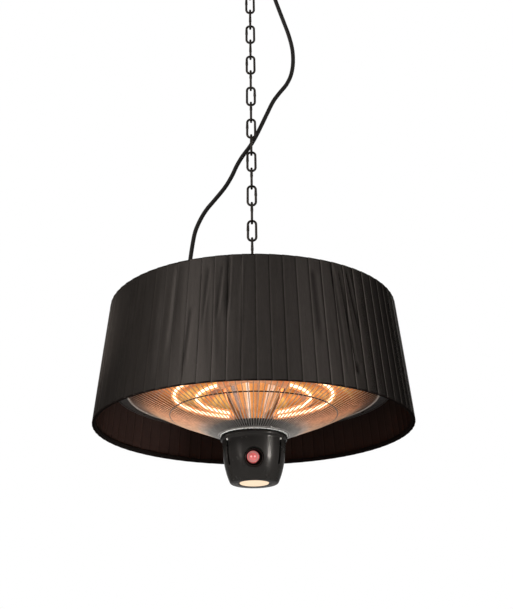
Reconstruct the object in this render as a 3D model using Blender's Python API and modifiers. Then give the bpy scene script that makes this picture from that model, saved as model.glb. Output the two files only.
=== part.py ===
"""Hanging patio heater: a round electric heater head under a fabric shade, hung by a chain.

Blender 4.5, metres, +Z up. The origin is the middle of the ceiling plate's upper face, and all hangs
below it. Heights named "above the shade's lower edge" are turned into world heights by above_edge().
"""

import math

import bmesh
import bpy
from mathutils import Matrix, Vector

# Clearances and cutting
GAP = 0.0003  # between pieces that rest on each other
OVERRUN = 0.003  # how far a cutter passes a wall
MERGE = 0.00001  # distance at which points count as one
FULL_TURN = 2 * math.pi

# Roundness
ROUND_STEPS = 40  # facets round the shade, the housing and the reflector
MIDDLE_STEPS = 32  # facets round the nose, the rose and what fits them
SMALL_STEPS = 20  # facets round the small turned pieces
TINY_STEPS = 12  # facets round screws and standoffs
WIRE_SIDES = 6  # sides of the grille's wires and the chain's wire
BEND_POINTS = 7  # points in each half turn of a chain link, its lowest place among them

# Ceiling plate, rose and hook
PLATE_RADIUS = 0.050
PLATE_THICKNESS = 0.003
PLATE_HOLE_RADIUS = 0.0025
PLATE_HOLE_PLACE = 0.036
BOSS_RADIUS = 0.009
BOSS_DEPTH = 0.012
ROSE_RADIUS = 0.060
ROSE_HEIGHT = 0.028
ROSE_WALL = 0.002
ROSE_CORNER = 0.008
ROSE_NUT_RADIUS = 0.009
ROSE_NUT_HEIGHT = 0.005
HOOK_WIRE = 0.005
HOOK_DROP = 0.058  # ceiling to the middle of the hook's wire at its lowest
HOOK_BEND = 0.010
HOOK_NECK = 0.0035  # straight length under the rose's nut
HOOK_LEAVES_AT = math.radians(115)  # where the bend starts, at the left of the shank
HOOK_ENDS_AT = math.radians(385)

# Chain: long-link steel chain
CHAIN_LINKS = 19
CHAIN_PITCH = 0.032
LINK_WIRE = 0.004
LINK_WIDTH = 0.018

# Snap hook between the chain and the eye bolt
SNAP_WIRE = 0.005
SNAP_SPAN = 0.045  # between the wire's middles, top to bottom
SNAP_BEND = 0.007
GATE_LENGTH = 0.025
GATE_DIAMETER = 0.0044
GATE_PLAY = 0.0009  # room below the gate, for its corner to turn in

# Eye bolt and its nut
EYE_WIRE = 0.006
EYE_SIDES = 8
EYE_RADIUS = 0.0095
EYE_COLLAR_RADIUS = 0.008
EYE_COLLAR_DROP = 0.0035  # ring's lowest wire middle to the collar's underside
EYE_COLLAR_HEIGHT = 0.003
EYE_SHANK = 0.006
EYE_SHANK_LENGTH = 0.016
NUT_RADIUS = 0.0062
NUT_HEIGHT = 0.005

# Shade: a fabric drum that narrows upwards
SHADE_CLEARANCE = 0.030  # the open gap between the housing and the shade's lower edge
SHADE_TAPER = 0.019  # how much smaller its radius is at the top
SHADE_ABOVE_HOUSING = 0.031  # its upper edge, above the housing's top
SHADE_WALL = 0.0012
HOOP_WIDTH = 0.004
HOOP_HEIGHT = 0.006

# Spider that carries the shade
SPIDER_ARMS = 3
SPIDER_TURN = math.radians(90)  # where the first arm points
SPIDER_HUB_RADIUS = 0.024
SPIDER_PLATE = 0.002
SPIDER_WIRE = 0.005
SPIDER_FLAT = 0.070  # radius at which the arms start to climb

# Housing: a shallow steel pan, open downwards. Heights are above the shade's lower edge
HOUSING_RADIUS = 0.210
HOUSING_TOP = 0.155
HOUSING_EDGE = 0.052
HOUSING_WALL = 0.0012
HOUSING_PROFILE_SHARES = (
    (0.600, 1.000),
    (0.650, 0.975),
    (0.790, 0.770),
    (0.910, 0.480),
    (0.970, 0.190),
    (1.000, 0.000),
)

# Flange ring and polished reflector
FLANGE_WIDTH = 0.015
FLANGE_THICKNESS = 0.0014
REFLECTOR_INSET = 0.018  # from the housing's edge to the dish's edge
REFLECTOR_LIP = 0.004
REFLECTOR_WALL = 0.0008
REFLECTOR_DEPTH = 0.046
REFLECTOR_HOLE = 0.0085
REFLECTOR_PROFILE_SHARES = (
    (0.350, 0.985),
    (0.560, 0.930),
    (0.760, 0.790),
    (0.900, 0.560),
    (0.965, 0.280),
    (1.000, 0.000),
)

# Grille: bent wires on three rings, given as radius and height above the shade's lower edge
GRILLE_WIRES = 30
GRILLE_WIRE = 0.0020
GRILLE_OUTER_RING = 0.0040
GRILLE_MIDDLE_RING = 0.0026
GRILLE_INNER_RING = 0.0030
GRILLE_INSET = 0.002  # from the dish's edge to the outer wire
GRILLE_MIDDLE_RADIUS = 0.1257
GRILLE_MIDDLE_HEIGHT = 0.0195
GRILLE_INNER_RADIUS = 0.0526
GRILLE_INNER_HEIGHT = -0.0110

# Collar, inner plate and column
COLLAR_RADIUS = 0.0506
COLLAR_HEIGHT = 0.0032
INNER_PLATE_RADIUS = 0.065
INNER_PLATE_THICKNESS = 0.0015
INNER_PLATE_HEIGHT = -0.0030  # its underside
COLUMN_RADIUS = 0.066  # where it flares out under the dish
COLUMN_WALL = 0.0014
COLUMN_PROFILE_SHARES = (
    (1.000, 1.000),
    (1.000, 0.975),
    (0.880, 0.820),
    (0.750, 0.640),
    (0.620, 0.480),
    (0.520, 0.360),
    (0.450, 0.250),
    (0.405, 0.120),
    (0.380, 0.000),
)

# Heating tubes: an outer and an inner arc on each side
TUBE_DIAMETER = 0.010
OUTER_TUBE_RADIUS = 0.120
OUTER_TUBE_HEIGHT = 0.050
INNER_TUBE_RADIUS = 0.086
INNER_TUBE_HEIGHT = 0.0465
TUBE_REAR_END = 0.033  # sideways place of the tubes' rear ends
TUBE_FRONT_END = 0.050
TUBE_POINTS = 15
SOCKET_RADIUS = 0.0068
HOLDER_WIDTH = 0.014
HOLDER_HEIGHT = 0.016
HOLDER_MARGIN = 0.004
POST_WIDTH = 0.008
POST_DEPTH = 0.018

# Nose: the cup under the grille, with receiver and lamp. Heights are above the shade's lower edge
NOSE_TOP = -0.0130
NOSE_BOTTOM = -0.0830
NOSE_RADIUS = 0.050
NOSE_WALL = 0.0022
NOSE_PROFILE_SHARES = (
    (0.945, 0.000),
    (0.995, 0.015),
    (1.000, 0.045),
    (0.992, 0.082),
    (0.948, 0.105),
    (0.928, 0.330),
    (0.892, 0.560),
    (0.836, 0.750),
    (0.762, 0.895),
    (0.672, 1.000),
)
BASE_DEPTH = 0.0075  # how far the nose's base plugs into the cup
BASE_WIRE_HOLE = 0.006
LAMP_RADIUS = 0.0214
LAMP_THICKNESS = 0.0026
LAMP_BOARD_RADIUS = 0.028
LAMP_BOARD_THICKNESS = 0.0016
SLOT_WIDTH = 0.004
SLOT_HEIGHT = 0.028
SLOT_TOP = -0.0200
SLOT_TURN = math.radians(56)  # from straight ahead to each side
NOSE_SCREW_RADIUS = 0.0017
NOSE_SCREW_LENGTH = 0.007

# Receiver in the front of the nose
RECEIVER_HEIGHT = -0.0532
BORE_RADIUS = 0.0136
BEZEL_WALL = 0.0012
BEZEL_FRONT = 0.0412  # in front of the nose's axis
BEZEL_DEPTH = 0.010
BEZEL_FLOOR = 0.0016
LENS_RADIUS = 0.0093
LENS_THICKNESS = 0.0066
LENS_SHIFT = -0.0015
LENS_RAISE = 0.0012

# What the heater holds inside
CONTROL_BOARD_RADIUS = 0.036
CONTROL_BOARD_THICKNESS = 0.0016
STANDOFF_RADIUS = 0.003
STANDOFF_LENGTH = 0.005
STANDOFF_PLACE = 0.028
TERMINAL_LENGTH = 0.048
TERMINAL_WIDTH = 0.022
TERMINAL_HEIGHT = 0.018
TERMINAL_PLACE = 0.062
TERMINAL_WAYS = 3
TERMINAL_WAY_RADIUS = 0.0035
TERMINAL_WAY_DEPTH = 0.010
CUTOUT_RADIUS = 0.009
CUTOUT_HEIGHT = 0.008
CUTOUT_PLACE = 0.055

# Supply cable, its gland on the housing and its gland on the rose
CABLE_DIAMETER = 0.0072
CABLE_POINTS = 46
GLAND_X = -0.1023
GLAND_Y = 0.0455
GLAND_RADIUS = 0.011
GLAND_FLANGE = 0.003
GLAND_HEIGHT = 0.016
GLAND_SPIGOT = 0.0075
GLAND_SPIGOT_LENGTH = 0.010
BOOT_LENGTH = 0.035
BOOT_RADIUS = 0.0085
BOOT_TIP_RADIUS = 0.0052
ROSE_GLAND_X = 0.038
ROSE_GLAND_RADIUS = 0.0085
ROSE_GLAND_HEIGHT = 0.015
ROSE_GLAND_SPIGOT = 0.006
ROSE_GLAND_LENGTH = 0.008

# The cable's route from the boot on the housing up to the rose: a list of places chosen by hand
CABLE_ROUTE = (
    (-0.1028, 0.0458, -0.6600),
    (-0.1040, 0.0465, -0.6400),
    (-0.1045, 0.0470, -0.6150),
    (-0.1036, 0.0465, -0.5950),
    (-0.1020, 0.0452, -0.5780),
    (-0.0982, 0.0445, -0.5490),
    (-0.0943, 0.0440, -0.5290),
    (-0.0860, 0.0415, -0.5090),
    (-0.0755, 0.0380, -0.4920),
    (-0.0600, 0.0335, -0.4740),
    (-0.0445, 0.0292, -0.4550),
    (-0.0330, 0.0250, -0.4360),
    (-0.0250, 0.0215, -0.4190),
    (-0.0150, 0.0178, -0.4025),
    (-0.0035, 0.0150, -0.3870),
    (0.0065, 0.0142, -0.3690),
    (0.0167, 0.0140, -0.3465),
    (0.0274, 0.0142, -0.3215),
    (0.0385, 0.0145, -0.2965),
    (0.0505, 0.0148, -0.2780),
    (0.0620, 0.0150, -0.2620),
    (0.0705, 0.0150, -0.2420),
    (0.0745, 0.0148, -0.2180),
    (0.0740, 0.0140, -0.1900),
    (0.0685, 0.0120, -0.1620),
    (0.0600, 0.0090, -0.1350),
    (0.0510, 0.0055, -0.1080),
    (0.0435, 0.0025, -0.0840),
    (0.0395, 0.0008, -0.0640),
)

# Places that follow from the sizes above
LINK_SPAN = CHAIN_PITCH + LINK_WIRE + GAP
LINK_BEND = (LINK_WIDTH - LINK_WIRE) / 2
HOOK_Z = -HOOK_DROP
FIRST_LINK_TOP_Z = HOOK_Z + (HOOK_WIRE + LINK_WIRE) / 2 + GAP
LAST_LINK_BOTTOM_Z = FIRST_LINK_TOP_Z - LINK_SPAN - (CHAIN_LINKS - 1) * CHAIN_PITCH
SNAP_TOP_Z = LAST_LINK_BOTTOM_Z + (LINK_WIRE + SNAP_WIRE) / 2 + GAP
SNAP_BOTTOM_Z = SNAP_TOP_Z - SNAP_SPAN
EYE_Z = SNAP_BOTTOM_Z + (SNAP_WIRE + EYE_WIRE) / 2 + GAP - EYE_RADIUS
COLLAR_Z = EYE_Z - EYE_RADIUS - EYE_COLLAR_DROP
HOUSING_TOP_Z = COLLAR_Z - GAP - SPIDER_PLATE - GAP
EDGE_Z = HOUSING_TOP_Z - HOUSING_TOP
SHADE_HEIGHT = HOUSING_TOP + SHADE_ABOVE_HOUSING
SHADE_RADIUS = HOUSING_RADIUS + SHADE_CLEARANCE
SHADE_TOP_RADIUS = SHADE_RADIUS - SHADE_TAPER
REFLECTOR_RADIUS = HOUSING_RADIUS - REFLECTOR_INSET
GRILLE_OUTER_RADIUS = REFLECTOR_RADIUS - GRILLE_INSET
FLANGE_HEIGHT = HOUSING_EDGE + HOUSING_WALL / 2
REFLECTOR_HEIGHT = FLANGE_HEIGHT + FLANGE_THICKNESS + REFLECTOR_WALL + GAP
NOSE_HEIGHT = NOSE_TOP - NOSE_BOTTOM


def above_edge(height):
    """The world height of a place given above the shade's lower edge."""
    return EDGE_Z + height


def link_top_z(number):
    """The middle of a link's upper wire, for links counted from 0 at the hook."""
    return FIRST_LINK_TOP_Z - number * CHAIN_PITCH


def shade_radius(height):
    """The shade's outer radius at a height above its lower edge."""
    return SHADE_RADIUS + (SHADE_TOP_RADIUS - SHADE_RADIUS) * height / SHADE_HEIGHT


def between(points, radius):
    """The height of an outline, given as (radius, height) points, at a radius."""
    for (r0, z0), (r1, z1) in zip(points, points[1:]):
        if min(r0, r1) <= radius <= max(r0, r1):
            return z0 + (z1 - z0) * (radius - r0) / (r1 - r0)
    return points[-1][1]


def housing_profile():
    rise = HOUSING_TOP - HOUSING_EDGE
    return [
        (r * HOUSING_RADIUS, above_edge(HOUSING_EDGE + z * rise)) for r, z in HOUSING_PROFILE_SHARES
    ]


def reflector_profile():
    dish = [
        (r * REFLECTOR_RADIUS, above_edge(REFLECTOR_HEIGHT + z * REFLECTOR_DEPTH))
        for r, z in REFLECTOR_PROFILE_SHARES
    ]
    return [(REFLECTOR_HOLE, above_edge(REFLECTOR_HEIGHT + REFLECTOR_DEPTH)), *dish]


def nose_profile():
    return [
        (r * NOSE_RADIUS, above_edge(NOSE_TOP - z * NOSE_HEIGHT)) for r, z in NOSE_PROFILE_SHARES
    ]


def reflector_back(radius):
    """The height of the reflector's upper side at a radius."""
    return between(reflector_profile(), radius)


# Scene, collections and materials
for old in list(bpy.data.objects):
    bpy.data.objects.remove(old, do_unlink=True)

parts = bpy.data.collections.new("hanging_patio_heater")
cutters = bpy.data.collections.new("cutters")
for group in (parts, cutters):
    bpy.context.scene.collection.children.link(group)


def make_material(name, colour, roughness, metallic, glow=0.0):
    material = bpy.data.materials.new(name)
    material.use_nodes = True
    shader = material.node_tree.nodes["Principled BSDF"]
    shader.inputs["Base Color"].default_value = (*colour, 1.0)
    shader.inputs["Roughness"].default_value = roughness
    shader.inputs["Metallic"].default_value = metallic
    shader.inputs["Emission Color"].default_value = (*colour, 1.0)
    shader.inputs["Emission Strength"].default_value = glow
    material.diffuse_color = (*colour, 1.0)
    return material


ZINC = make_material("zinc_plated_steel", (0.55, 0.55, 0.53), 0.35, 1.0)
BLACK_PAINT = make_material("black_painted_steel", (0.022, 0.020, 0.019), 0.55, 0.0)
POLISHED = make_material("polished_aluminium", (0.88, 0.84, 0.80), 0.12, 1.0)
WIRE_STEEL = make_material("grille_steel", (0.45, 0.43, 0.41), 0.30, 1.0)
CHARCOAL = make_material("charcoal_fabric", (0.045, 0.041, 0.038), 0.90, 0.0)
SATIN_BLACK = make_material("satin_black_plastic", (0.030, 0.028, 0.027), 0.40, 0.0)
HOT_TUBE = make_material("glowing_tube", (1.0, 0.55, 0.20), 0.20, 0.0, 4.0)
CERAMIC = make_material("white_ceramic", (0.80, 0.76, 0.68), 0.60, 0.0)
RED_LENS = make_material("red_lens", (0.75, 0.10, 0.10), 0.15, 0.0)
WARM_LAMP = make_material("warm_lamp", (1.0, 0.86, 0.62), 0.40, 0.0, 2.0)
GREEN_BOARD = make_material("circuit_board", (0.03, 0.18, 0.07), 0.50, 0.0)
BLACK_RUBBER = make_material("black_rubber", (0.018, 0.018, 0.018), 0.60, 0.0)


# Building blocks
def add_object(name, data, material, group=None):
    obj = bpy.data.objects.new(name, data)
    (group or parts).objects.link(obj)
    if material:
        data.materials.append(material)
    return obj


def make_cutter(obj):
    """Hide an object that only cuts or joins another."""
    for group in obj.users_collection:
        group.objects.unlink(obj)
    cutters.objects.link(obj)
    obj.hide_render = True
    obj.display_type = "WIRE"
    return obj


def combine(obj, other, operation):
    make_cutter(other)
    modifier = obj.modifiers.new(operation.lower(), "BOOLEAN")
    modifier.operation = operation
    modifier.solver = "EXACT"
    modifier.object = other
    return obj


def cut(obj, other):
    return combine(obj, other, "DIFFERENCE")


def join(obj, other):
    return combine(obj, other, "UNION")


def turn_profile(name, profile, material, steps, closed):
    """Spin an outline of (radius, height) points, listed from its top down its outer side."""
    count = len(profile)
    edges = [(i, i + 1) for i in range(count - 1)]
    if closed:
        edges.append((count - 1, 0))
    mesh = bpy.data.meshes.new(name)
    mesh.from_pydata([(r, 0, z) for r, z in profile], edges, [])
    obj = add_object(name, mesh, material)
    screw = obj.modifiers.new("turn", "SCREW")
    screw.angle = FULL_TURN
    screw.steps = steps
    screw.render_steps = steps
    screw.use_merge_vertices = True
    screw.merge_threshold = MERGE
    screw.use_smooth_shade = True
    return obj


def turned_ring(name, profile, material, steps=ROUND_STEPS):
    """A turned solid whose outline closes on itself, clear of the axis."""
    return turn_profile(name, profile, material, steps, True)


def turned_solid(name, profile, material, steps=ROUND_STEPS):
    """A turned solid whose outline starts and ends on the axis."""
    return turn_profile(name, profile, material, steps, False)


def turned_shell(name, profile, wall, material, steps=ROUND_STEPS):
    """A thin turned wall, with the outline as its outer side."""
    obj = turn_profile(name, profile, material, steps, False)
    solidify = obj.modifiers.new("wall", "SOLIDIFY")
    solidify.thickness = wall
    solidify.offset = -1.0
    solidify.use_even_offset = True
    return obj


def box_profile(inner, outer, bottom, top):
    """A ring's rectangular outline, clockwise from its upper inner corner."""
    return [(inner, top), (outer, top), (outer, bottom), (inner, bottom)]


def disc_profile(radius, bottom, top):
    return [(0, top), (radius, top), (radius, bottom), (0, bottom)]


def hex_nut(name, bolt_radius, radius, bottom, top):
    """A nut whose hole has the same six sides, so its flats clear the bolt by GAP."""
    bore = (bolt_radius + GAP) / math.cos(math.pi / 6)
    return turned_ring(name, box_profile(bore, radius, bottom, top), ZINC, 6)


def round_profile(middle_radius, middle_height, radius, sides):
    """A round wire's outline, clockwise."""
    return [
        (
            middle_radius + radius * math.cos(-FULL_TURN * i / sides),
            middle_height + radius * math.sin(-FULL_TURN * i / sides),
        )
        for i in range(sides)
    ]


def block(name, size, middle, material, turn=0.0):
    """A box, turned about its own upright axis."""
    mesh = bpy.data.meshes.new(name)
    bm = bmesh.new()
    bmesh.ops.create_cube(bm, size=1.0)
    bmesh.ops.scale(bm, vec=size, verts=bm.verts)
    bm.to_mesh(mesh)
    bm.free()
    obj = add_object(name, mesh, material)
    obj.location = middle
    obj.rotation_euler = (0, 0, turn)
    return obj


def rod(name, start, end, radius, material, sides=SMALL_STEPS):
    """A round bar between two places."""
    start, end = Vector(start), Vector(end)
    mesh = bpy.data.meshes.new(name)
    bm = bmesh.new()
    bmesh.ops.create_cone(
        bm,
        cap_ends=True,
        segments=sides,
        radius1=radius,
        radius2=radius,
        depth=(end - start).length,
    )
    bm.to_mesh(mesh)
    bm.free()
    mesh.shade_smooth()
    mesh.set_sharp_from_angle(angle=math.radians(40))
    obj = add_object(name, mesh, material)
    obj.location = (start + end) / 2
    obj.rotation_euler = (end - start).to_track_quat("Z", "Y").to_euler()
    return obj


def bent_wire(name, points, diameter, material, closed=False, resolution=2):
    """A round wire, tube or cable along a row of points."""
    curve = bpy.data.curves.new(name, "CURVE")
    curve.dimensions = "3D"
    curve.bevel_depth = diameter / 2
    curve.bevel_resolution = resolution
    curve.use_fill_caps = not closed
    spline = curve.splines.new("POLY")
    spline.points.add(len(points) - 1)
    for point, place in zip(spline.points, points):
        point.co = (*place, 1.0)
    spline.use_cyclic_u = closed
    return add_object(name, curve, material)


def as_mesh(obj):
    """The same shape as a mesh with its caps sewn on, in place of a curve."""
    bpy.context.view_layer.update()
    graph = bpy.context.evaluated_depsgraph_get()
    mesh = bpy.data.meshes.new_from_object(obj.evaluated_get(graph))
    bm = bmesh.new()
    bm.from_mesh(mesh)
    bmesh.ops.remove_doubles(bm, verts=bm.verts, dist=MERGE)
    bm.to_mesh(mesh)
    bm.free()
    name = obj.name
    place = obj.matrix_world.copy()
    bpy.data.objects.remove(obj, do_unlink=True)
    made = add_object(name, mesh, None)
    made.matrix_world = place
    return made


def arc(radius, start, end, count):
    """Points on an arc about the origin, as (across, up) pairs, both ends included."""
    step = (end - start) / (count - 1)
    return [
        (radius * math.cos(start + i * step), radius * math.sin(start + i * step))
        for i in range(count)
    ]


def smooth_route(places, count):
    """Evenly spaced points on a smooth curve through the places."""
    rows = [Vector(p) for p in places]
    rows = [2 * rows[0] - rows[1], *rows, 2 * rows[-1] - rows[-2]]
    fine = []
    for a, b, c, d in zip(rows, rows[1:], rows[2:], rows[3:]):
        for i in range(count):
            t = i / count
            fine.append(
                (
                    2 * b
                    + (c - a) * t
                    + (2 * a - 5 * b + 4 * c - d) * t * t
                    + (3 * b - 3 * c + d - a) * t * t * t
                )
                / 2
            )
    fine.append(rows[-2])
    run = [0.0]
    for a, b in zip(fine, fine[1:]):
        run.append(run[-1] + (b - a).length)
    points = []
    at = 0
    for i in range(count):
        target = run[-1] * i / (count - 1)
        while at < len(run) - 2 and run[at + 1] < target:
            at += 1
        share = (target - run[at]) / (run[at + 1] - run[at])
        points.append(fine[at].lerp(fine[at + 1], share))
    return points


def make_axis(name, height):
    """An empty on a joint's axis, for the pieces that turn there."""
    empty = bpy.data.objects.new(name, None)
    empty.empty_display_size = LINK_WIDTH
    empty.location = (0, 0, height)
    parts.objects.link(empty)
    return empty


def carry(empty, *pieces):
    """Parent pieces to an empty without moving them."""
    for piece in pieces:
        piece.parent = empty
        piece.matrix_parent_inverse = Matrix.Translation(empty.location).inverted()


# Ceiling plate, rose, hook and the rose's cable gland
def ceiling_fitting():
    plate = turned_solid(
        "ceiling_plate", disc_profile(PLATE_RADIUS, -PLATE_THICKNESS, 0), ZINC, MIDDLE_STEPS
    )
    boss = turned_ring(
        "boss",
        box_profile(
            HOOK_WIRE / 2 + GAP, BOSS_RADIUS, -PLATE_THICKNESS - BOSS_DEPTH, -PLATE_THICKNESS / 2
        ),
        None,
        SMALL_STEPS,
    )
    join(plate, boss)
    for side in (-1, 1):
        place = side * PLATE_HOLE_PLACE
        hole = rod(
            "plate_hole",
            (place, 0, -PLATE_THICKNESS - OVERRUN),
            (place, 0, OVERRUN),
            PLATE_HOLE_RADIUS,
            None,
        )
        cut(plate, hole)

    floor = -ROSE_HEIGHT
    corner = ROSE_CORNER * math.cos(math.pi / 4)
    rose = turned_shell(
        "ceiling_rose",
        [
            (ROSE_RADIUS, -GAP),
            (ROSE_RADIUS, floor + ROSE_CORNER),
            (ROSE_RADIUS - ROSE_CORNER + corner, floor + ROSE_CORNER - corner),
            (ROSE_RADIUS - ROSE_CORNER, floor),
            (HOOK_WIRE / 2 + GAP, floor),
        ],
        ROSE_WALL,
        SATIN_BLACK,
        MIDDLE_STEPS,
    )
    cable_hole = rod(
        "rose_cable_hole",
        (ROSE_GLAND_X, 0, floor - OVERRUN),
        (ROSE_GLAND_X, 0, floor + ROSE_WALL + OVERRUN),
        ROSE_GLAND_SPIGOT + GAP,
        None,
    )
    cut(rose, cable_hole)

    hex_nut("rose_nut", HOOK_WIRE / 2, ROSE_NUT_RADIUS, floor - GAP - ROSE_NUT_HEIGHT, floor - GAP)

    middle_z = HOOK_Z + HOOK_BEND
    shank_end_z = floor - GAP - ROSE_NUT_HEIGHT - HOOK_NECK
    bend = [
        (x, 0, middle_z + z) for x, z in arc(HOOK_BEND, HOOK_LEAVES_AT, HOOK_ENDS_AT, 2 * BEND_POINTS)
    ]
    shank = [(0, 0, -PLATE_THICKNESS - GAP), (0, 0, shank_end_z)]
    bent_wire("ceiling_hook", shank + bend, HOOK_WIRE, ZINC)

    gland = turned_solid(
        "rose_gland",
        [
            (0, floor + ROSE_GLAND_LENGTH),
            (ROSE_GLAND_SPIGOT, floor + ROSE_GLAND_LENGTH),
            (ROSE_GLAND_SPIGOT, floor - GAP),
            (ROSE_GLAND_RADIUS, floor - GAP),
            (ROSE_GLAND_RADIUS, floor - ROSE_GLAND_HEIGHT / 2),
            (BOOT_TIP_RADIUS, floor - ROSE_GLAND_HEIGHT),
            (0, floor - ROSE_GLAND_HEIGHT),
        ],
        BLACK_RUBBER,
        SMALL_STEPS,
    )
    gland.location = (ROSE_GLAND_X, 0, 0)


# Chain
def link_outline():
    """A link's centreline in its own plane, from its upper wire's middle downwards."""
    half = LINK_SPAN - 2 * LINK_BEND
    upper = [(x, z - LINK_BEND) for x, z in arc(LINK_BEND, 0, math.pi, BEND_POINTS)]
    lower = [
        (x, z - LINK_BEND - half) for x, z in arc(LINK_BEND, math.pi, FULL_TURN, BEND_POINTS)
    ]
    return upper + lower


def chain():
    """Links hang in turn across and along the front, each with its origin on the wire that bears it."""
    links = []
    for number in range(CHAIN_LINKS):
        edge_on = number % 2 == 0
        bearing = (HOOK_WIRE if number == 0 else LINK_WIRE) / 2 + LINK_WIRE / 2 + GAP
        points = [
            (0, x, z + bearing) if edge_on else (x, 0, z + bearing) for x, z in link_outline()
        ]
        name = f"chain_link_{number + 1:02d}"
        link = bent_wire(name, points, LINK_WIRE, ZINC, closed=True, resolution=1)
        link.location = (0, 0, link_top_z(number) - bearing)
        links.append(link)
    return links


# Snap hook with its gate
def snap_hook():
    gate_bottom = (SNAP_SPAN - GATE_LENGTH) / 2
    upper = arc(SNAP_BEND, 0, math.pi, 2 * BEND_POINTS)
    lower = arc(SNAP_BEND, math.pi, FULL_TURN, 2 * BEND_POINTS)
    top_middle = SNAP_TOP_Z - SNAP_BEND
    bottom_middle = SNAP_BOTTOM_Z + SNAP_BEND
    points = [(SNAP_BEND, 0, SNAP_BOTTOM_Z + gate_bottom + GATE_LENGTH)]
    points += [(x, 0, top_middle + z) for x, z in upper]
    points += [(x, 0, bottom_middle + z) for x, z in lower]
    points += [(SNAP_BEND, 0, SNAP_BOTTOM_Z + gate_bottom)]
    hook = bent_wire("snap_hook", points, SNAP_WIRE, ZINC)

    pivot_z = SNAP_BOTTOM_Z + gate_bottom + GATE_PLAY + GATE_DIAMETER / 2
    pivot = make_axis("snap_hook_gate_axis", pivot_z)
    pivot.location.x = SNAP_BEND
    gate = rod(
        "snap_hook_gate",
        (SNAP_BEND, 0, pivot_z - GATE_DIAMETER / 2),
        (SNAP_BEND, 0, SNAP_BOTTOM_Z + gate_bottom + GATE_LENGTH - GAP),
        GATE_DIAMETER / 2,
        ZINC,
        SMALL_STEPS,
    )
    carry(pivot, gate)
    return hook, pivot


# Eye bolt and nut
def eye_bolt():
    shank_z = COLLAR_Z - EYE_SHANK_LENGTH
    bolt = turned_solid(
        "eye_bolt",
        [
            (0, COLLAR_Z + EYE_COLLAR_HEIGHT),
            (EYE_COLLAR_RADIUS, COLLAR_Z + EYE_COLLAR_HEIGHT),
            (EYE_COLLAR_RADIUS, COLLAR_Z),
            (EYE_SHANK / 2, COLLAR_Z),
            (EYE_SHANK / 2, shank_z),
            (0, shank_z),
        ],
        ZINC,
        SMALL_STEPS,
    )
    ring = turned_ring(
        "eye_ring", round_profile(EYE_RADIUS, 0, EYE_WIRE / 2, EYE_SIDES), None, MIDDLE_STEPS
    )
    ring.location = (0, 0, EYE_Z)
    ring.rotation_euler = (0, math.pi / 2, 0)
    join(bolt, ring)

    nut_top = HOUSING_TOP_Z - HOUSING_WALL - GAP
    nut = hex_nut("eye_nut", EYE_SHANK / 2, NUT_RADIUS, nut_top - NUT_HEIGHT, nut_top)
    return bolt, nut


# Shade, its two hoops and the spider
def shade():
    fabric = turned_shell(
        "shade_fabric",
        [(SHADE_TOP_RADIUS, above_edge(SHADE_HEIGHT)), (SHADE_RADIUS, above_edge(0))],
        SHADE_WALL,
        CHARCOAL,
        ROUND_STEPS,
    )
    hoops = []
    for name, bottom in (
        ("shade_top_ring", SHADE_HEIGHT - HOOP_HEIGHT),
        ("shade_bottom_ring", 0),
    ):
        top = bottom + HOOP_HEIGHT
        inside = SHADE_WALL + 3 * GAP
        profile = [
            (shade_radius(top) - inside - HOOP_WIDTH, above_edge(top)),
            (shade_radius(top) - inside, above_edge(top)),
            (shade_radius(bottom) - inside, above_edge(bottom)),
            (shade_radius(bottom) - inside - HOOP_WIDTH, above_edge(bottom)),
        ]
        hoops.append(turned_ring(name, profile, BLACK_PAINT))

    plate_z = HOUSING_TOP_Z + GAP
    spider = turned_ring(
        "shade_spider",
        box_profile(EYE_SHANK / 2 + GAP, SPIDER_HUB_RADIUS, plate_z, plate_z + SPIDER_PLATE),
        BLACK_PAINT,
        SMALL_STEPS,
    )
    arm_z = plate_z + SPIDER_WIRE / 2
    hoop_middle = SHADE_HEIGHT - HOOP_HEIGHT / 2
    hoop_inside = shade_radius(hoop_middle) - SHADE_WALL - 3 * GAP - HOOP_WIDTH
    reach = hoop_inside * math.cos(math.pi / ROUND_STEPS) - GAP
    for arm_number in range(SPIDER_ARMS):
        turn = Matrix.Rotation(SPIDER_TURN + arm_number * FULL_TURN / SPIDER_ARMS, 4, "Z")
        points = [
            turn @ Vector((r, 0, z))
            for r, z in (
                (SPIDER_HUB_RADIUS / 2, arm_z),
                (SPIDER_FLAT, arm_z),
                (reach - SPIDER_FLAT / 2, above_edge(hoop_middle)),
                (reach, above_edge(hoop_middle)),
            )
        ]
        arm = as_mesh(bent_wire("spider_arm", points, SPIDER_WIRE, None))
        join(spider, arm)
    return fabric, *hoops, spider


# Housing, flange ring and reflector
def head():
    profile = [(EYE_SHANK / 2 + GAP, HOUSING_TOP_Z), *housing_profile()]
    housing = turned_shell("housing", profile, HOUSING_WALL, BLACK_PAINT)
    gland_hole = rod(
        "gland_hole",
        (GLAND_X, GLAND_Y, HOUSING_TOP_Z - HOUSING_WALL - OVERRUN),
        (GLAND_X, GLAND_Y, HOUSING_TOP_Z + OVERRUN),
        GLAND_SPIGOT + GAP,
        None,
    )
    cut(housing, gland_hole)

    outer = HOUSING_RADIUS * math.cos(math.pi / ROUND_STEPS) - HOUSING_WALL - 2 * GAP
    flange = turned_ring(
        "flange_ring",
        box_profile(
            outer - FLANGE_WIDTH,
            outer,
            above_edge(FLANGE_HEIGHT),
            above_edge(FLANGE_HEIGHT + FLANGE_THICKNESS),
        ),
        BLACK_PAINT,
    )

    lip = (REFLECTOR_RADIUS + REFLECTOR_LIP, above_edge(REFLECTOR_HEIGHT))
    reflector = turned_shell(
        "reflector", [*reflector_profile(), lip], REFLECTOR_WALL, POLISHED
    )
    return housing, flange, reflector


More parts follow.
